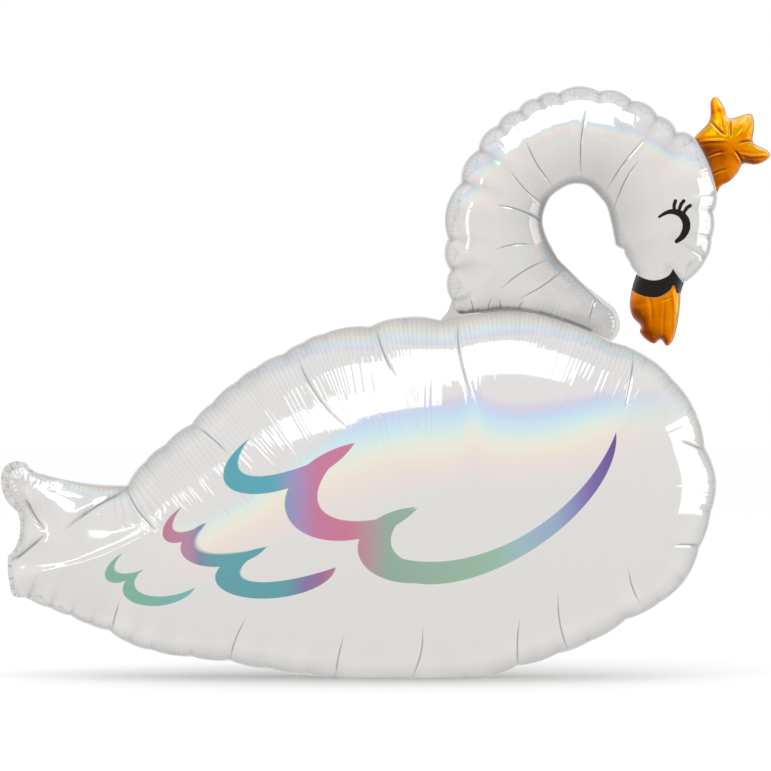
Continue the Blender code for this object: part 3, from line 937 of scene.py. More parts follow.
world = bpy.data.worlds.new("studio")
bpy.context.scene.world = world
world.use_nodes = True
tree = world.node_tree
tree.nodes.clear()
towards = add(tree, "ShaderNodeTexCoord").outputs["Generated"]
split = parts(towards)
behind = maths("MULTIPLY_ADD", split["Y"], 0.5, 0.5)
above = maths("MULTIPLY_ADD", split["Z"], 0.5, 0.5)
depth_tone = ramp(behind, [
    (0.0, (0.96, 0.95, 0.94)), (1.0, (0.60, 0.60, 0.60)), (0.55, (0.96, 0.955, 0.95)),
    (0.70, (0.99, 0.985, 0.98)), (0.86, (0.84, 0.84, 0.84)),
])
height_tone = ramp(above, [
    (0.0, (0.965, 0.955, 0.94)), (1.0, (1.0, 1.0, 1.0)), (0.5, (0.985, 0.975, 0.96)),
])
room = add(tree, "ShaderNodeBackground", {"Color": mixed(1.0, depth_tone, height_tone, "MULTIPLY")})
white = add(tree, "ShaderNodeBackground", {"Color": (1, 1, 1, 1)})
seen = add(tree, "ShaderNodeLightPath").outputs["Is Glossy Ray"]
mix = add(tree, "ShaderNodeMixShader", {0: seen, 1: white.outputs[0], 2: room.outputs[0]})
add(tree, "ShaderNodeOutputWorld", {"Surface": mix.outputs[0]})
bpy.context.scene.view_settings.view_transform = "Standard"
print("the room has", len(tree.nodes), "nodes")

# %% [markdown]
# ## Where things are printed
# Every print is worked out from the object's own coordinates, in the same hundredths as the outline, so
# it stays sharp at any distance and needs no image. Shared sums go into node groups with named sockets.
# The first group turns coordinates into a place. The film draws in towards the middle as it is blown up,
# so places are read a little further out where the surface stands further off the seam. The next two
# groups draw an oval and a round-ended line.

# %% Groups for places and shapes
def group(name, inputs, outputs):
    """An empty node group, the sockets that come in, and the node that hands results out."""
    tree = bpy.data.node_groups.new(name, "ShaderNodeTree")
    for title, value in inputs.items():
        kind = "Vector" if isinstance(value, tuple) else "Float"
        socket = tree.interface.new_socket(title, in_out="INPUT", socket_type="NodeSocket" + kind)
        socket.default_value = value
    for title, kind in outputs.items():
        tree.interface.new_socket(title, in_out="OUTPUT", socket_type="NodeSocket" + kind)
    return tree, tree.nodes.new("NodeGroupInput").outputs, tree.nodes.new("NodeGroupOutput").inputs


def use(tree, shared, inputs=None):
    """The outputs of a group that is used in another tree."""
    return add(tree, "ShaderNodeGroup", inputs, node_tree=shared).outputs


def weld_uv(tree):
    """The place along the weld and the distance from it."""
    return add(tree, "ShaderNodeUVMap", uv_map="weld_and_distance").outputs["UV"]


def vectors(operation, *values):
    """A sum of vectors; the dot product and the distance come out as the second output."""
    made = add(home(*values), "ShaderNodeVectorMath", dict(enumerate(values)), operation=operation)
    return made.outputs[1 if operation in ("DOT_PRODUCT", "DISTANCE") else 0]


PLACE, given, result = group("place_in_hundredths", {
    "Left": LEFT, "Floor": FLOOR, "Hundredth": UNIT,
    "Middle": EYE_LEVEL, "Gather": 0.25,
}, {"Place": "Vector"})
split = parts(add(PLACE, "ShaderNodeTexCoord").outputs["Object"])
gather = maths("MULTIPLY_ADD", maths("ABSOLUTE", split["Y"]), given["Gather"], 1)
height = maths("MULTIPLY", maths("SUBTRACT", split["Z"], given["Middle"]), gather)
height = maths("ADD", height, maths("SUBTRACT", given["Middle"], given["Floor"]))
width = maths("SUBTRACT", maths("MULTIPLY", split["X"], gather), given["Left"])
across = maths("DIVIDE", width, given["Hundredth"])
up = maths("DIVIDE", height, given["Hundredth"])
PLACE.links.new(add(PLACE, "ShaderNodeCombineXYZ", {"X": across, "Y": up}).outputs[0], result["Place"])

OVAL, given, result = group("oval", {
    "Place": (0, 0, 0), "Centre": (0, 0, 0), "Long Axis": (1, 0, 0),
    "Short Axis": (0, 1, 0), "Sharpness": 50,
}, {"Inside": "Float"})
offset = vectors("SUBTRACT", given["Place"], given["Centre"])
reaches = [vectors("DOT_PRODUCT", offset, given[axis]) for axis in ("Long Axis", "Short Axis")]
squares = [maths("POWER", maths("ABSOLUTE", reach), 2) for reach in reaches]
short_of = maths("SUBTRACT", 1, maths("SQRT", maths("ADD", *squares)))
inside = maths("MULTIPLY_ADD", short_of, given["Sharpness"], 0.5, clamp=True)
OVAL.links.new(inside, result["Inside"])

LINE, given, result = group("round_ended_line", {
    "Place": (0, 0, 0), "Start": (0, 0, 0), "Run": (1, 0, 0),
    "Half Width": 0.2, "Growth": 0.0, "Sharpness": 12,
}, {"Inside": "Float"})
offset = vectors("SUBTRACT", given["Place"], given["Start"])
squared = vectors("DOT_PRODUCT", given["Run"], given["Run"])
share = maths("DIVIDE", vectors("DOT_PRODUCT", offset, given["Run"]), squared, clamp=True)
shares = add(LINE, "ShaderNodeCombineXYZ", {0: share, 1: share}).outputs[0]
nearest = vectors("MULTIPLY", given["Run"], shares)
half = maths("MULTIPLY_ADD", share, given["Growth"], given["Half Width"])
short_of = maths("SUBTRACT", half, vectors("DISTANCE", offset, nearest))
inside = maths("MULTIPLY_ADD", short_of, given["Sharpness"], 0.5, clamp=True)
LINE.links.new(inside, result["Inside"])
print("groups:", PLACE.name, OVAL.name, LINE.name)

# %% [markdown]
# ## Crescents
# A wing's feathers are a row of crescents, and each crescent is one oval with another taken out of it.
# The ovals are found from a few points by least squares, which is easier to steer than centres and
# angles. The last long feather bends more than an oval can, so it is two crescents that overlap.

# %% Crescents from points
ROWS = {
    "long": [
        ([(32.4, 32.2), (28.9, 28.0), (30.0, 25.9), (32.7, 24.9), (35.9, 25.3), (39.3, 26.5), (46.0, 31.6)],
         [(32.4, 32.2), (30.8, 28.9), (31.8, 27.7), (33.7, 27.3), (36.7, 27.7), (39.8, 28.8), (46.0, 31.6)]),
        ([(46.0, 31.6), (39.8, 28.8), (37.1, 23.7), (37.6, 21.5), (39.3, 19.8), (41.9, 19.2), (54.3, 23.3)],
         [(46.0, 31.6), (41.7, 26.5), (41.1, 24.6), (41.5, 23.0), (43.7, 22.0), (49.7, 21.8), (54.3, 23.3)]),
        ([(54.3, 23.3), (49.7, 22.2), (46.5, 18.9), (46.5, 17.2), (49.7, 14.1), (53.2, 13.4), (60.5, 16.3),
          (61.4, 19.6), (58.4, 22.6)],
         [(54.3, 23.3), (51.9, 21.2), (50.6, 18.9), (50.7, 17.6), (52.3, 16.5), (55.3, 16.0), (60.5, 16.6),
          (65.7, 19.2), (66.1, 23.9), (59.2, 25.6)]),
        ([(49.7, 15.7), (53.2, 13.4), (57.5, 13.5), (65.3, 15.7), (70.5, 18.7), (77.4, 25.6), (79.9, 33.0)],
         [(49.7, 17.4), (55.3, 16.1), (59.2, 16.6), (63.6, 17.6), (67.9, 19.6), (75.7, 26.1), (79.9, 33.0)]),
    ],
    "middle": [
        ([(23.6, 23.3), (21.8, 21.7), (21.1, 20.1), (21.5, 18.9), (22.5, 18.7), (24.6, 19.2), (26.7, 21.2)],
         [(23.6, 23.3), (22.5, 21.5), (22.4, 20.7), (22.9, 20.1), (24.0, 20.1), (25.3, 20.5), (26.7, 21.2)]),
        ([(26.7, 21.2), (24.9, 20.4), (23.7, 18.7), (23.6, 17.3), (24.3, 16.3), (25.9, 15.8), (34.5, 18.0)],
         [(26.7, 21.2), (25.7, 19.8), (25.4, 18.7), (25.9, 17.8), (27.2, 17.3), (29.8, 17.3), (34.5, 18.0)]),
        ([(34.5, 18.0), (30.7, 17.2), (28.8, 15.9), (28.4, 14.2), (30.9, 11.6), (36.7, 11.7), (43.6, 15.5)],
         [(34.5, 18.0), (32.0, 16.3), (31.2, 14.8), (31.8, 14.0), (35.9, 13.6), (39.3, 14.3), (43.6, 15.5)]),
    ],
    "short": [
        ([(15.9, 17.3), (14.5, 16.3), (13.7, 15.0), (13.8, 14.0), (14.8, 13.4), (16.2, 13.7), (18.5, 15.1)],
         [(15.9, 17.3), (15.0, 16.1), (14.9, 15.3), (15.5, 14.7), (16.6, 14.7), (18.5, 15.1)]),
        ([(18.5, 15.1), (16.8, 14.4), (16.1, 13.2), (16.2, 11.9), (19.5, 10.4), (23.8, 11.5), (25.4, 12.9)],
         [(18.5, 15.1), (17.6, 14.2), (17.6, 13.1), (18.2, 12.2), (19.9, 11.7), (22.5, 11.9), (25.4, 12.9)]),
    ],
}
EYE = [
    (85.50, 60.92, 0.17), (86.35, 61.43, 0.25), (87.25, 61.62, 0.35), (88.25, 61.32, 0.45),
    (88.92, 60.50, 0.52), (89.02, 59.45, 0.51), (88.52, 58.40, 0.41), (87.70, 57.70, 0.26),
]
LASHES = [
    [(87.45, 61.8, 0.22), (87.45, 62.5, 0.24), (87.65, 63.1, 0.24)],
    [(88.05, 61.7, 0.22), (88.35, 62.6, 0.24), (88.8, 63.1, 0.24)],
    [(88.6, 61.3, 0.22), (89.1, 62.1, 0.24), (89.65, 62.45, 0.24)],
]


def oval_through(points):
    """The centre, both axes and the sharpness of the oval that passes nearest to the points."""
    middle = np.mean(points, axis=0)
    x, z = (np.array(points) - middle).T
    terms = np.linalg.lstsq(np.column_stack([x * x, x * z, z * z, x, z]), np.ones(len(points)), rcond=None)[0]
    form = np.array([[terms[0], terms[1] / 2], [terms[1] / 2, terms[2]]])
    centre = -np.linalg.solve(form, terms[3:]) / 2
    sizes, turns = np.linalg.eigh(form / (1 + centre @ form @ centre))
    long_axis, short_axis = turns.T * np.sqrt(sizes)[:, None]
    return {
        "Centre": (*(middle + centre), 0), "Long Axis": (*long_axis, 0), "Short Axis": (*short_axis, 0),
        "Sharpness": 14 / math.sqrt(sizes[1]),
    }


def crescent(place, outer, inner):
    """How much of a crescent covers each place."""
    full, hollow = (
        use(home(place), OVAL, {"Place": place, **oval_through(edge)})["Inside"] for edge in (outer, inner)
    )
    return maths("MULTIPLY", full, maths("SUBTRACT", 1, hollow))


def together(masks):
    """The largest of several masks."""
    total = masks[0]
    for mask in masks[1:]:
        total = maths("MAXIMUM", total, mask)
    return total


print("crescents:", {name: len(row) for name, row in ROWS.items()}, "and", len(EYE), "points for the eye")

# %% [markdown]
# ## The rainbow sheen
# The film is pressed with very fine lines, which split the edge of every highlight into colours: violet
# and blue nearest to it, then green, yellow and pink, then silver again. These colours are a painted
# sheen in the film's colour. One group holds the colours. A second finds how far a place is past a
# highlight's edge from the way the film is turned there, which suits the head. The body's sheen follows
# a line under its long highlight instead. It is a picture of what the film does from the front, not a
# simulation of it.

# %% The rainbow group
SILVER = (0.80, 0.797, 0.79)
SPECTRUM = [
    (0.0, SILVER), (1.0, SILVER), (0.10, (0.72, 0.66, 0.84)), (0.19, (0.58, 0.72, 0.97)),
    (0.30, (0.60, 0.86, 0.98)), (0.42, (0.76, 0.92, 0.86)), (0.54, (0.92, 0.90, 0.75)),
    (0.68, (0.93, 0.82, 0.74)), (0.82, (0.88, 0.79, 0.77)),
]

RAINBOW, given, result = group("rainbow", {
    "Phase": 0, "Strength": 1,
}, {"Color": "Color"})
objects = add(RAINBOW, "ShaderNodeTexCoord").outputs["Object"]
drifted = maths("ADD", given["Phase"], maths("MULTIPLY_ADD", clouds(objects, 8.0), 0.4, -0.2))
colour = ramp(maths("MULTIPLY_ADD", drifted, 0.85, 0.08), SPECTRUM)
RAINBOW.links.new(mixed(given["Strength"], (*SILVER, 1), colour), result["Color"])

PHASE, given, result = group("phase_from_normal", {
    "Normal": (0, 0, 1), "Highlight Foot": 0.41, "Highlight Head": 0.78,
    "Spread": 0.30,
}, {"Phase": "Float"})
split = parts(given["Normal"])
below = maths("DIVIDE", maths("SUBTRACT", given["Highlight Foot"], split["Z"]), given["Spread"])
over = maths("DIVIDE", maths("SUBTRACT", split["Z"], given["Highlight Head"]), 0.22)
PHASE.links.new(maths("MAXIMUM", below, over), result["Phase"])
print("the rainbow has", len(SPECTRUM), "stops")

# %% [markdown]
# ## Fine pleats and panels
# The finest pleats are under five millimetres apart, run straight in from the weld, and each one ends at
# a distance of its own. They mostly bend the reflections, so a bump is enough, and the valley of each
# pleat is also painted a little darker. The UV map counts along the weld and away from it, and a white
# noise gives each pleat its own strength. A second group paints a soft uneven shade over the panels
# between the pleats near the weld.

# %% Groups for pleats and panels
PLEATS_BUMP, given, result = group("fine_pleats", {
    "Spacing": 0.0046, "Reach": 0.15, "Start": 0.004, "Unevenness": 0.25,
}, {"Height": "Float", "Valley Shade": "Float"})
uv = weld_uv(PLEATS_BUMP)
split = parts(uv)
turn = maths("DIVIDE", split["X"], given["Spacing"])
turn = maths("ADD", turn, maths("MULTIPLY", clouds(uv, 16.0), given["Unevenness"]))
number = maths("FLOOR", turn)
chance = add(PLEATS_BUMP, "ShaderNodeTexWhiteNoise", {"W": number}, noise_dimensions="1D").outputs["Value"]
within = maths("SUBTRACT", turn, number)
ridge = maths("SINE", maths("MULTIPLY", within, math.pi))
own_reach = maths("MULTIPLY", given["Reach"], maths("MULTIPLY_ADD", chance, 0.55, 0.55))
left_over = maths("SUBTRACT", 1, maths("DIVIDE", split["Y"], own_reach), clamp=True)
fade = maths("MULTIPLY", maths("SQRT", left_over), maths("DIVIDE", split["Y"], given["Start"], clamp=True))
strength = maths("MULTIPLY", fade, maths("MULTIPLY_ADD", chance, 0.4, 0.7))
PLEATS_BUMP.links.new(maths("MULTIPLY", ridge, strength), result["Height"])
# Painted shade: the valley of each pleat is painted darker.
valley = maths("POWER", maths("SUBTRACT", 1, ridge), 1.5)
PLEATS_BUMP.links.new(maths("MULTIPLY", valley, strength), result["Valley Shade"])

# Painted shade of the panels: near the weld a soft noise paints stretches of film a little lighter or darker,
# and further in the film is painted an even light grey.
PANEL_SHADES, given, result = group("panel_shade", {
    "Along": 34.0, "Away": 4.0, "Fade": 0.09,
}, {"Panel Shade": "Color"})
uv = weld_uv(PANEL_SHADES)
stretched = add(PANEL_SHADES, "ShaderNodeCombineXYZ", {"X": given["Along"], "Y": given["Away"]}).outputs[0]
patches = clouds(vectors("MULTIPLY", uv, stretched), 1.0)
tone = ramp(patches, [(0.32, (0.87, 0.87, 0.877)), (0.66, (1.0, 1.0, 1.0))])
away = parts(uv)["Y"]
near = maths("SUBTRACT", 1, maths("DIVIDE", away, given["Fade"]), clamp=True)
PANEL_SHADES.links.new(mixed(near, (0.97, 0.97, 0.972, 1), tone), result["Panel Shade"])
print("groups:", PLEATS_BUMP.name, PANEL_SHADES.name)

# %% [markdown]
# ## The film
# All the pieces use one way of making a material: silver film with the painted rainbow sheen, the
# pleats, the painted shade of the folds, the pleats' valleys and the panels, and whatever is printed over
# it. Ink is less shiny than film, so a print also changes how metallic and how rough the surface is.

# %% A film material
FILM = {"Metallic": 0.92, "Roughness": 0.07}
# Greys and shares of the painted shade in the pleats' valleys and in the folds.
VALLEY_SHADE_GREY, VALLEY_SHADE_SHARE = (0.42, 0.42, 0.44, 1), 0.28
FOLD_SHADE_GREY, FOLD_SHADE_SHARE = (0.08, 0.08, 0.085, 1), 0.72


def sheen_by_normal(place, normal):
    """A faint rainbow where the surface turns away from the ceiling lights."""
    tree = home(normal)
    phase = use(tree, PHASE, {"Normal": normal})["Phase"]
    return use(tree, RAINBOW, {"Phase": phase, "Strength": 0.45})["Color"]


def film_material(title, pleats_of, pleat_height, sheen_of=sheen_by_normal):
    """A silver film with its shader and the place. One function gives the pleats' reach and strength from the
    place, and another gives the colour of the sheen."""
    paint = bpy.data.materials.new(title)
    paint.use_nodes = True
    tree = paint.node_tree
    shader = tree.nodes["Principled BSDF"]
    place = use(tree, PLACE)["Place"]
    split = parts(place)
    reach, strength = pleats_of(split["X"], split["Y"])
    pleats = use(tree, PLEATS_BUMP, {"Reach": reach})
    height = maths("MULTIPLY", pleats["Height"], strength)
    bump = add(tree, "ShaderNodeBump", {"Height": height, "Distance": pleat_height})
    tree.links.new(bump.outputs[0], shader.inputs["Normal"])
    sheen = sheen_of(place, bump.outputs[0])
    # Painted shade: the mesh's fold shade, the panels' painted shade and the pleats' painted valley shade
    # darken the film's colour.
    shade = add(tree, "ShaderNodeAttribute", attribute_name="fold_shade").outputs["Fac"]
    sheen = mixed(1.0, sheen, use(tree, PANEL_SHADES)["Panel Shade"], "MULTIPLY")
    sheen = mixed(maths("MULTIPLY", pleats["Valley Shade"], VALLEY_SHADE_SHARE), sheen, VALLEY_SHADE_GREY)
    silver = mixed(maths("MULTIPLY", shade, FOLD_SHADE_SHARE, clamp=True), sheen, FOLD_SHADE_GREY)
    tree.links.new(silver, shader.inputs["Base Color"])
    for name, value in FILM.items():
        shader.inputs[name].default_value = value
    shader.inputs["Specular IOR Level"].default_value = 0.15
    return paint, shader, place


def print_over(shader, mask, colour, metallic, roughness):
    """Ink over the film wherever the mask is 1."""
    tree = shader.id_data
    for name, value in (("Metallic", metallic), ("Roughness", roughness)):
        socket = shader.inputs[name]
        before = socket.links[0].from_socket if socket.links else FILM[name]
        mix = add(tree, "ShaderNodeMix", {0: mask, 2: before, 3: value}, data_type="FLOAT")
        tree.links.new(mix.outputs[0], socket)
    before = shader.inputs["Base Color"].links[0].from_socket
    tree.links.new(mixed(mask, before, colour), shader.inputs["Base Color"])


FEATHER_INK = {"metallic": 0.35, "roughness": 0.30}
INKS = {
    "long": [
        (0.0, (0.10, 0.36, 0.42)), (1.0, (0.15, 0.09, 0.30)), (0.13, (0.12, 0.38, 0.47)),
        (0.19, (0.36, 0.28, 0.50)), (0.24, (0.55, 0.20, 0.34)), (0.32, (0.58, 0.20, 0.30)),
        (0.38, (0.44, 0.32, 0.34)), (0.42, (0.29, 0.42, 0.34)), (0.68, (0.32, 0.49, 0.38)),
        (0.76, (0.34, 0.50, 0.54)), (0.85, (0.32, 0.40, 0.58)), (0.93, (0.22, 0.17, 0.42)),
    ],
    "middle": [
        (0.0, (0.52, 0.20, 0.29)), (1.0, (0.50, 0.20, 0.30)), (0.14, (0.47, 0.25, 0.36)),
        (0.22, (0.22, 0.27, 0.40)), (0.30, (0.13, 0.36, 0.39)), (0.70, (0.13, 0.36, 0.40)),
        (0.82, (0.24, 0.20, 0.38)), (0.90, (0.34, 0.17, 0.34)),
    ],
    "short": [(0.0, (0.24, 0.45, 0.33)), (1.0, (0.22, 0.46, 0.50)), (0.5, (0.22, 0.46, 0.37))],
}


def map_range(value, start, end, first, last):
    """A number that runs from first to last while the value runs from start to end."""
    return add(home(value), "ShaderNodeMapRange", {0: value, 1: start, 2: end, 3: first, 4: last}).outputs[0]


def body_pleats(across, up):
    """Long strong pleats over the back, short ones on the tail, the belly and the chest."""
    past_back = map_range(across, 60.5, 62.5, 0.165, 0.120)
    past_chest = map_range(across, 81.5, 84.5, 1.0, 0.35)
    past_tail = map_range(across, 12.0, 20.0, 0.12, 1.0)
    above_belly = map_range(up, 15.0, 24.0, 0.25, 1.0)
    ends = maths("MULTIPLY", past_tail, above_belly)
    reach = maths("MULTIPLY", maths("MULTIPLY", past_back, past_chest), ends)
    over_back = map_range(across, 38.0, 48.0, 1.0, 0.45)
    return reach, maths("MAXIMUM", over_back, map_range(across, 74.0, 78.0, 0.0, 1.0))


BLUE_LINE = [
    (26.6, 23.5), (32.4, 27.0), (38.9, 30.3), (44.1, 32.4), (49.3, 34.1), (54.5, 35.4), (59.6, 35.5),
    (61.4, 36.5), (63.0, 35.3), (66.4, 34.7), (72.6, 35.4), (80.4, 36.4), (90.0, 37.0),
]
BLUE_PHASE = 0.19


def curve_through(across, corners, low, high):
    """The height of a smooth line through the corners, which lie between low and high, and its curve."""
    left, right = corners[0][0], corners[-1][0]
    share = maths("DIVIDE", maths("SUBTRACT", across, left), right - left, clamp=True)
    made = add(home(share), "ShaderNodeFloatCurve", {"Value": share})
    curve = made.mapping.curves[0]
    for i, (x, z) in enumerate(corners):
        at, rise = (x - left) / (right - left), (z - low) / (high - low)
        point = curve.points[i] if i < 2 else curve.points.new(at, rise)
        point.location = (at, rise)
    made.mapping.extend = "HORIZONTAL"
    made.mapping.update()
    return maths("MULTIPLY_ADD", made.outputs[0], high - low, low), curve


def sheen_by_place(place, normal):
    """The body's rainbow runs under its long highlight, and bends where the pleats tilt the film."""
    tree = home(place)
    split = parts(place)
    line, _ = curve_through(split["X"], BLUE_LINE, 10, 40)
    depth = map_range(split["X"], 54.0, 66.0, 11.8, 9.3)
    under = maths("DIVIDE", maths("SUBTRACT", line, split["Y"]), depth)
    smooth_normal = add(tree, "ShaderNodeNewGeometry").outputs["Normal"]
    tilt = vectors("DOT_PRODUCT", vectors("SUBTRACT", smooth_normal, normal), (0, 0, 1))
    under = maths("ADD", maths("ADD", under, BLUE_PHASE), tilt)
    over = use(tree, PHASE, {"Normal": smooth_normal, "Highlight Foot": -5.0})["Phase"]
    white_end = map_range(split["X"], 34.0, 50.0, 0.33, -0.10)
    strength = maths("DIVIDE", maths("SUBTRACT", under, white_end), 0.14, clamp=True)
    fade_left = map_range(split["X"], 20.0, 27.0, 0.0, 1.0)
    fade_right = map_range(split["X"], 78.0, 85.0, 1.0, 0.25)
    strength = maths("MULTIPLY", strength, maths("MULTIPLY", fade_left, fade_right))
    strength = maths("MAXIMUM", strength, maths("MULTIPLY", maths("GREATER_THAN", over, 0), 0.55))
    phase = maths("MAXIMUM", under, over)
    return use(tree, RAINBOW, {"Phase": phase, "Strength": maths("MULTIPLY", strength, 0.8)})["Color"]


body_film, shader, place = film_material("film_with_feathers", body_pleats, 0.00046, sheen_by_place)
across = parts(place)["X"]
for row, strokes in ROWS.items():
    mask = together([crescent(place, outer, inner) for outer, inner in strokes])
    ends = [x for outer, _ in strokes for x, _ in outer]
    share = maths("DIVIDE", maths("SUBTRACT", across, min(ends)), max(ends) - min(ends), clamp=True)
    print_over(shader, mask, ramp(share, INKS[row]), **FEATHER_INK)
print("the body's film has", len(body_film.node_tree.nodes), "nodes")

# %% [markdown]
# ## The head
# The bill is gold film under a black band, and the band's edges rise to a point near the front of the
# face. A curve gives the height of each edge along the head. The closed eye is a chain of short
# round-ended lines that swell and taper, and so are its three lashes. The rim has a film of its own, with
# the same black and gold on it, so that they run out to the outline. The crown is gold all over.

# %% The head's film and the gold film
BAND_TOP = [
    (82.1, 53.9), (83.0, 53.2), (84.0, 52.8), (85.0, 52.7), (85.9, 52.9), (86.8, 53.4), (87.3, 54.2),
    (87.8, 53.4), (88.8, 52.2),
]
BAND_FOOT = [
    (81.8, 51.6), (83.0, 50.8), (84.2, 50.5), (85.3, 50.5), (86.4, 51.0), (87.0, 51.5), (87.4, 52.0),
    (87.8, 51.0), (88.2, 51.1), (88.8, 52.2),
]
BILL_LEFT = 81.0
GOLD = {"metallic": 0.95, "roughness": 0.11}
BLACK_INK = {"colour": (0.010, 0.007, 0.007, 1), "metallic": 0.0, "roughness": 0.30}
EDGE_SHARPNESS = 12
BILL_HEIGHT, BILL_HALF = 50.1, 6.0
CROWN_SIDE, CROWN_START = (0.927, 0.376, 0), 110.65


def edge_height(across, corners):
    """The height of an edge of the black band, with its highest corner sharp."""
    height, curve = curve_through(across, corners, 50, 55)
    for point, (_, z) in zip(curve.points, corners):
        point.handle_type = "VECTOR" if z == max(z for _, z in corners) else "AUTO"
    return height


GOLD_WITH_PAINTED_LIGHT, given, result = group("gold_with_painted_light", {
    "Normal": (0, 0, 1), "Edge Width": 0.0045,
}, {"Color": "Color"})
# Painted light on the gold: where the film faces up and to the right it is painted bright yellow, and where
# it turns away dark brown, with a soft noise that changes the tone at random.
facing = vectors("DOT_PRODUCT", given["Normal"], (0.45, 0.0, 0.89))
objects = add(GOLD_WITH_PAINTED_LIGHT, "ShaderNodeTexCoord").outputs["Object"]
tone = maths("MULTIPLY_ADD", maths("ADD", facing, clouds(objects, 38.0)), 0.62, 0.13, clamp=True)
gold_by_facing = ramp(tone, [
    (0.0, (0.22, 0.04, 0.0)), (1.0, (1.0, 0.78, 0.30)), (0.22, (0.58, 0.14, 0.0)),
    (0.42, (0.82, 0.23, 0.0)), (0.56, (0.84, 0.30, 0.0)), (0.66, (0.62, 0.42, 0.0)),
    (0.76, (0.92, 0.28, 0.01)), (0.88, (1.0, 0.52, 0.06)),
])
# A painted dark edge along the weld, with a painted bright line just inside it.
away = maths("DIVIDE", parts(weld_uv(GOLD_WITH_PAINTED_LIGHT))["Y"], given["Edge Width"])
away = maths("MULTIPLY_ADD", clouds(objects, 110.0), 0.9, away)
line = ramp(maths("MULTIPLY", away, 0.5), [
    (0.0, (0.0, 0.20, 0.0)), (1.0, (0.5, 0.5, 0.5)), (0.32, (0.02, 0.22, 0.0)), (0.42, (1.0, 0.82, 0.30)),
    (0.52, (0.95, 0.68, 0.16)), (0.64, (0.5, 0.5, 0.5)),
])
GOLD_WITH_PAINTED_LIGHT.links.new(mixed(0.8, gold_by_facing, line, "OVERLAY"), result["Color"])


def gold_with_painted_light(shader):
    """The gold's colour, with its painted light and shade, and how it turns with the film's own bumps."""
    return use(shader.id_data, GOLD_WITH_PAINTED_LIGHT, {"Normal": shader.inputs["Normal"].links[0].from_socket})["Color"]


def head_pleats(across, up):
    """Short pleats round the neck and the head, and hardly any on the bill."""
    above_bill = map_range(up, 53.0, 56.0, 0.10, 1.0)
    left_of_bill = map_range(across, 79.0, 81.0, 1.0, 0.0)
    return maths("MULTIPLY", maths("MAXIMUM", above_bill, left_of_bill), 0.030), 1.0


def short_pleats(across, up):
    """Pleats that stay close to the weld everywhere."""
    return 0.012, 1.0


head_film, shader, place = film_material("film_with_face", head_pleats, 0.00026)


def print_bill(shader, place):
    """Prints gold below the black band's foot, and gives the mask of the band itself."""
    split = parts(place)
    on_bill = maths("COMPARE", split["Y"], BILL_HEIGHT, BILL_HALF)
    on_bill = maths("MULTIPLY", on_bill, maths("GREATER_THAN", split["X"], BILL_LEFT))
    under = []
    for corners in (BAND_TOP, BAND_FOOT):
        lower = maths("SUBTRACT", edge_height(split["X"], corners), split["Y"])
        under.append(maths("MULTIPLY_ADD", lower, EDGE_SHARPNESS, 0.5, clamp=True))
    print_over(shader, maths("MULTIPLY", on_bill, under[1]), gold_with_painted_light(shader), **GOLD)
    return maths("MULTIPLY", on_bill, maths("SUBTRACT", under[0], under[1], clamp=True))


def chain(place, points):
    """A line through points that each have their own half width."""
    masks = []
    for (x, z, half), (next_x, next_z, next_half) in zip(points[:-1], points[1:]):
        masks.append(use(home(place), LINE, {
            "Place": place, "Start": (x, z, 0), "Run": (next_x - x, next_z - z, 0), "Half Width": half,
            "Growth": next_half - half,
        })["Inside"])
    return together(masks)


black = print_bill(shader, place)
black = together([black] + [chain(place, smooth(line, 0.5).tolist()) for line in [EYE] + LASHES])
print_over(shader, black, **BLACK_INK)

rim_film, shader, place = film_material("film_on_rim", short_pleats, 0.0)
black = print_bill(shader, place)
on_crown = maths("GREATER_THAN", vectors("DOT_PRODUCT", place, CROWN_SIDE), CROWN_START)
print_over(shader, on_crown, gold_with_painted_light(shader), **GOLD)
print_over(shader, black, **BLACK_INK)

crown_film, shader, _ = film_material("gold_film", short_pleats, 0.00015)
# The crown's gold is painted towards dark brown by the painted shade of its folds and weld.
shade = add(shader.id_data, "ShaderNodeAttribute", attribute_name="fold_shade").outputs["Fac"]
gold = mixed(maths("MULTIPLY", shade, 1.0, clamp=True), gold_with_painted_light(shader), (0.10, 0.02, 0, 1))
shader.id_data.links.new(gold, shader.inputs["Base Color"])
shader.inputs["Roughness"].default_value = GOLD["roughness"]

for piece, paint in ((body, body_film), (neck, head_film), (crown, crown_film), (rim, rim_film)):
    piece.data.materials.append(paint)
print("the head's film has", len(head_film.node_tree.nodes), "nodes")

# %% [markdown]
# ## Crimps along the weld
# The hot tool presses small ribs across the welded band. There are hundreds of them, evenly spaced along
# one line, so Geometry Nodes places them: the line is resampled by the spacing, and a small bar stands on
# every point, turned along the line and scaled by a seeded random value. The result is kept as a plain
# mesh.

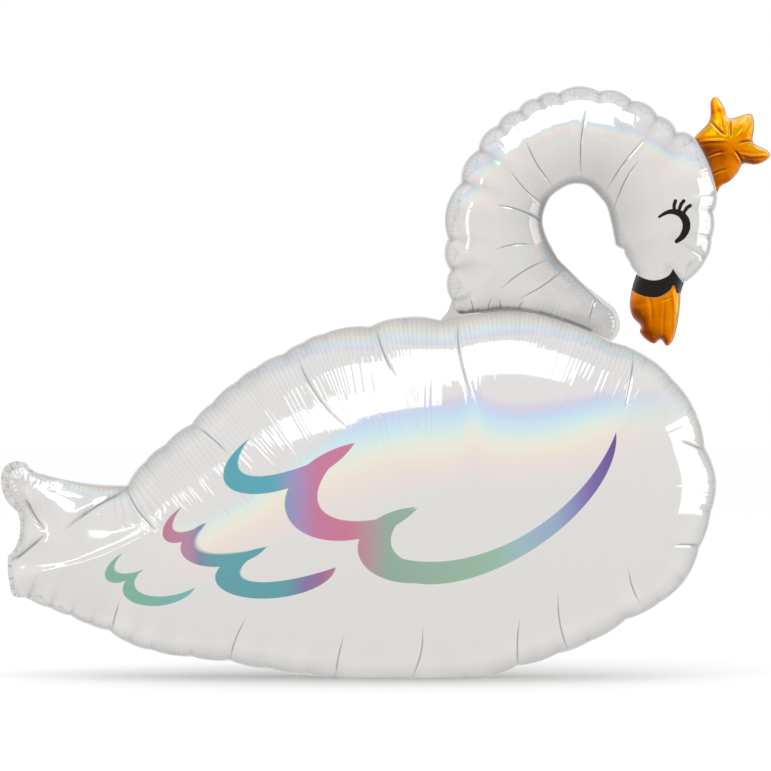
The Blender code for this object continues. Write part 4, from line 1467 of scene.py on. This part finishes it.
# %% Bars along a line
def crimp_tree():
    """Geometry nodes that put small bars across a line."""
    tree = bpy.data.node_groups.new("weld_crimps", "GeometryNodeTree")
    tree.is_modifier = True
    tree.interface.new_socket("Line", in_out="INPUT", socket_type="NodeSocketGeometry")
    for title, value in (("Spacing", 0.0023), ("Width", 0.0008), ("Height", 0.0007), ("Length", 0.0013)):
        tree.interface.new_socket(title, in_out="INPUT", socket_type="NodeSocketFloat").default_value = value
    tree.interface.new_socket("Seed", in_out="INPUT", socket_type="NodeSocketInt").default_value = 3
    tree.interface.new_socket("Material", in_out="INPUT", socket_type="NodeSocketMaterial")
    tree.interface.new_socket("Crimps", in_out="OUTPUT", socket_type="NodeSocketGeometry")
    given = tree.nodes.new("NodeGroupInput").outputs
    curve = add(tree, "GeometryNodeMeshToCurve", {"Mesh": given["Line"]}).outputs[0]
    spaced = {"Curve": curve, "Length": given["Spacing"]}
    even = add(tree, "GeometryNodeResampleCurve", spaced, mode="LENGTH").outputs[0]
    sides = {"X": given["Width"], "Y": given["Height"], "Z": given["Length"]}
    size = add(tree, "ShaderNodeCombineXYZ", sides).outputs[0]
    bar = add(tree, "GeometryNodeMeshCube", {"Size": size}).outputs["Mesh"]
    tangent = add(tree, "GeometryNodeInputTangent").outputs[0]
    turn = add(tree, "FunctionNodeAlignRotationToVector", {"Vector": tangent}, axis="X", pivot_axis="Y")
    scale = add(tree, "FunctionNodeRandomValue", {
        0: (0.6, 0.9, 0.6), 1: (1.3, 1.1, 1.1), "Seed": given["Seed"],
    }, data_type="FLOAT_VECTOR").outputs[0]
    bars = add(tree, "GeometryNodeInstanceOnPoints", {
        "Points": even, "Instance": bar, "Rotation": turn.outputs[0], "Scale": scale,
    })
    real = add(tree, "GeometryNodeRealizeInstances", {0: bars.outputs[0]}).outputs[0]
    painted = add(tree, "GeometryNodeSetMaterial", {"Geometry": real, "Material": given["Material"]})
    tree.links.new(painted.outputs[0], tree.nodes.new("NodeGroupOutput").inputs[0])
    return tree


CRIMPS = crimp_tree()


def make_crimps(name, lines, settings):
    """One mesh of bars across all the lines, made by the geometry nodes."""
    corners, edges = [], []
    for line in lines:
        edges += [(len(corners) + i, len(corners) + i + 1) for i in range(len(line) - 1)]
        corners += [(x, 0, z) for x, z in line]
    mesh = bpy.data.meshes.new(name)
    mesh.from_pydata(corners, edges, [])
    crimps = linked(name, mesh)
    modifier = crimps.modifiers.new("weld_crimps", "NODES")
    modifier.node_group = CRIMPS
    for socket in CRIMPS.interface.items_tree:
        if socket.name in settings:
            modifier[socket.identifier] = settings[socket.name]
    evaluated = crimps.evaluated_get(bpy.context.evaluated_depsgraph_get())
    crimps.data = bpy.data.meshes.new_from_object(evaluated)
    crimps.modifiers.clear()
    crimps.visible_glossy = False
    lay_on_floor(crimps.data.vertices)
    print(name, "has", len(crimps.data.polygons) // 6, "bars")
    return crimps


def band_middle(name, first, last):
    """The line half a rim inside a stretch of the outline, without the first and the last points."""
    line, rim = STRETCHES[name]
    points = placed(line)[4:-4:3]
    return (points + inwards(points)[:, :2] * rim * MM / 2)[first:last]


rim_crimps = make_crimps(
    "rim_crimps",
    [
        band_middle("back", 6, None), band_middle("tail_top", 4, -4), band_middle("belly_and_chest", 6, -10),
        band_middle("nape", 10, -6), band_middle("neck_front", 4, -4), band_middle("face", 4, -4),
    ],
    {"Spacing": 0.0023, "Length": 0.0013, "Seed": 5, "Material": rim_film},
)
tail_crimps = make_crimps(
    "tail_crimps",
    [band_middle("tail_tip", 6, -10), band_middle("tail_tab", 4, -6)],
    {"Spacing": 0.0031, "Width": 0.0007, "Length": 0.0042, "Seed": 8, "Material": rim_film},
)

# %% [markdown]
# ## The pieces on the frame
# Every piece rides on the frame's one body and stands for the imported solid, which is hidden.

# %% Pieces on the frame
FINISHES = (
    (body, "foil"), (neck, "foil"), (crown, "gold_print"), (rim, "foil"), (rim_crimps, "foil"),
    (tail_crimps, "foil"),
)
for piece, finish in FINISHES:
    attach(piece, "root")
    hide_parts("swan_balloon")
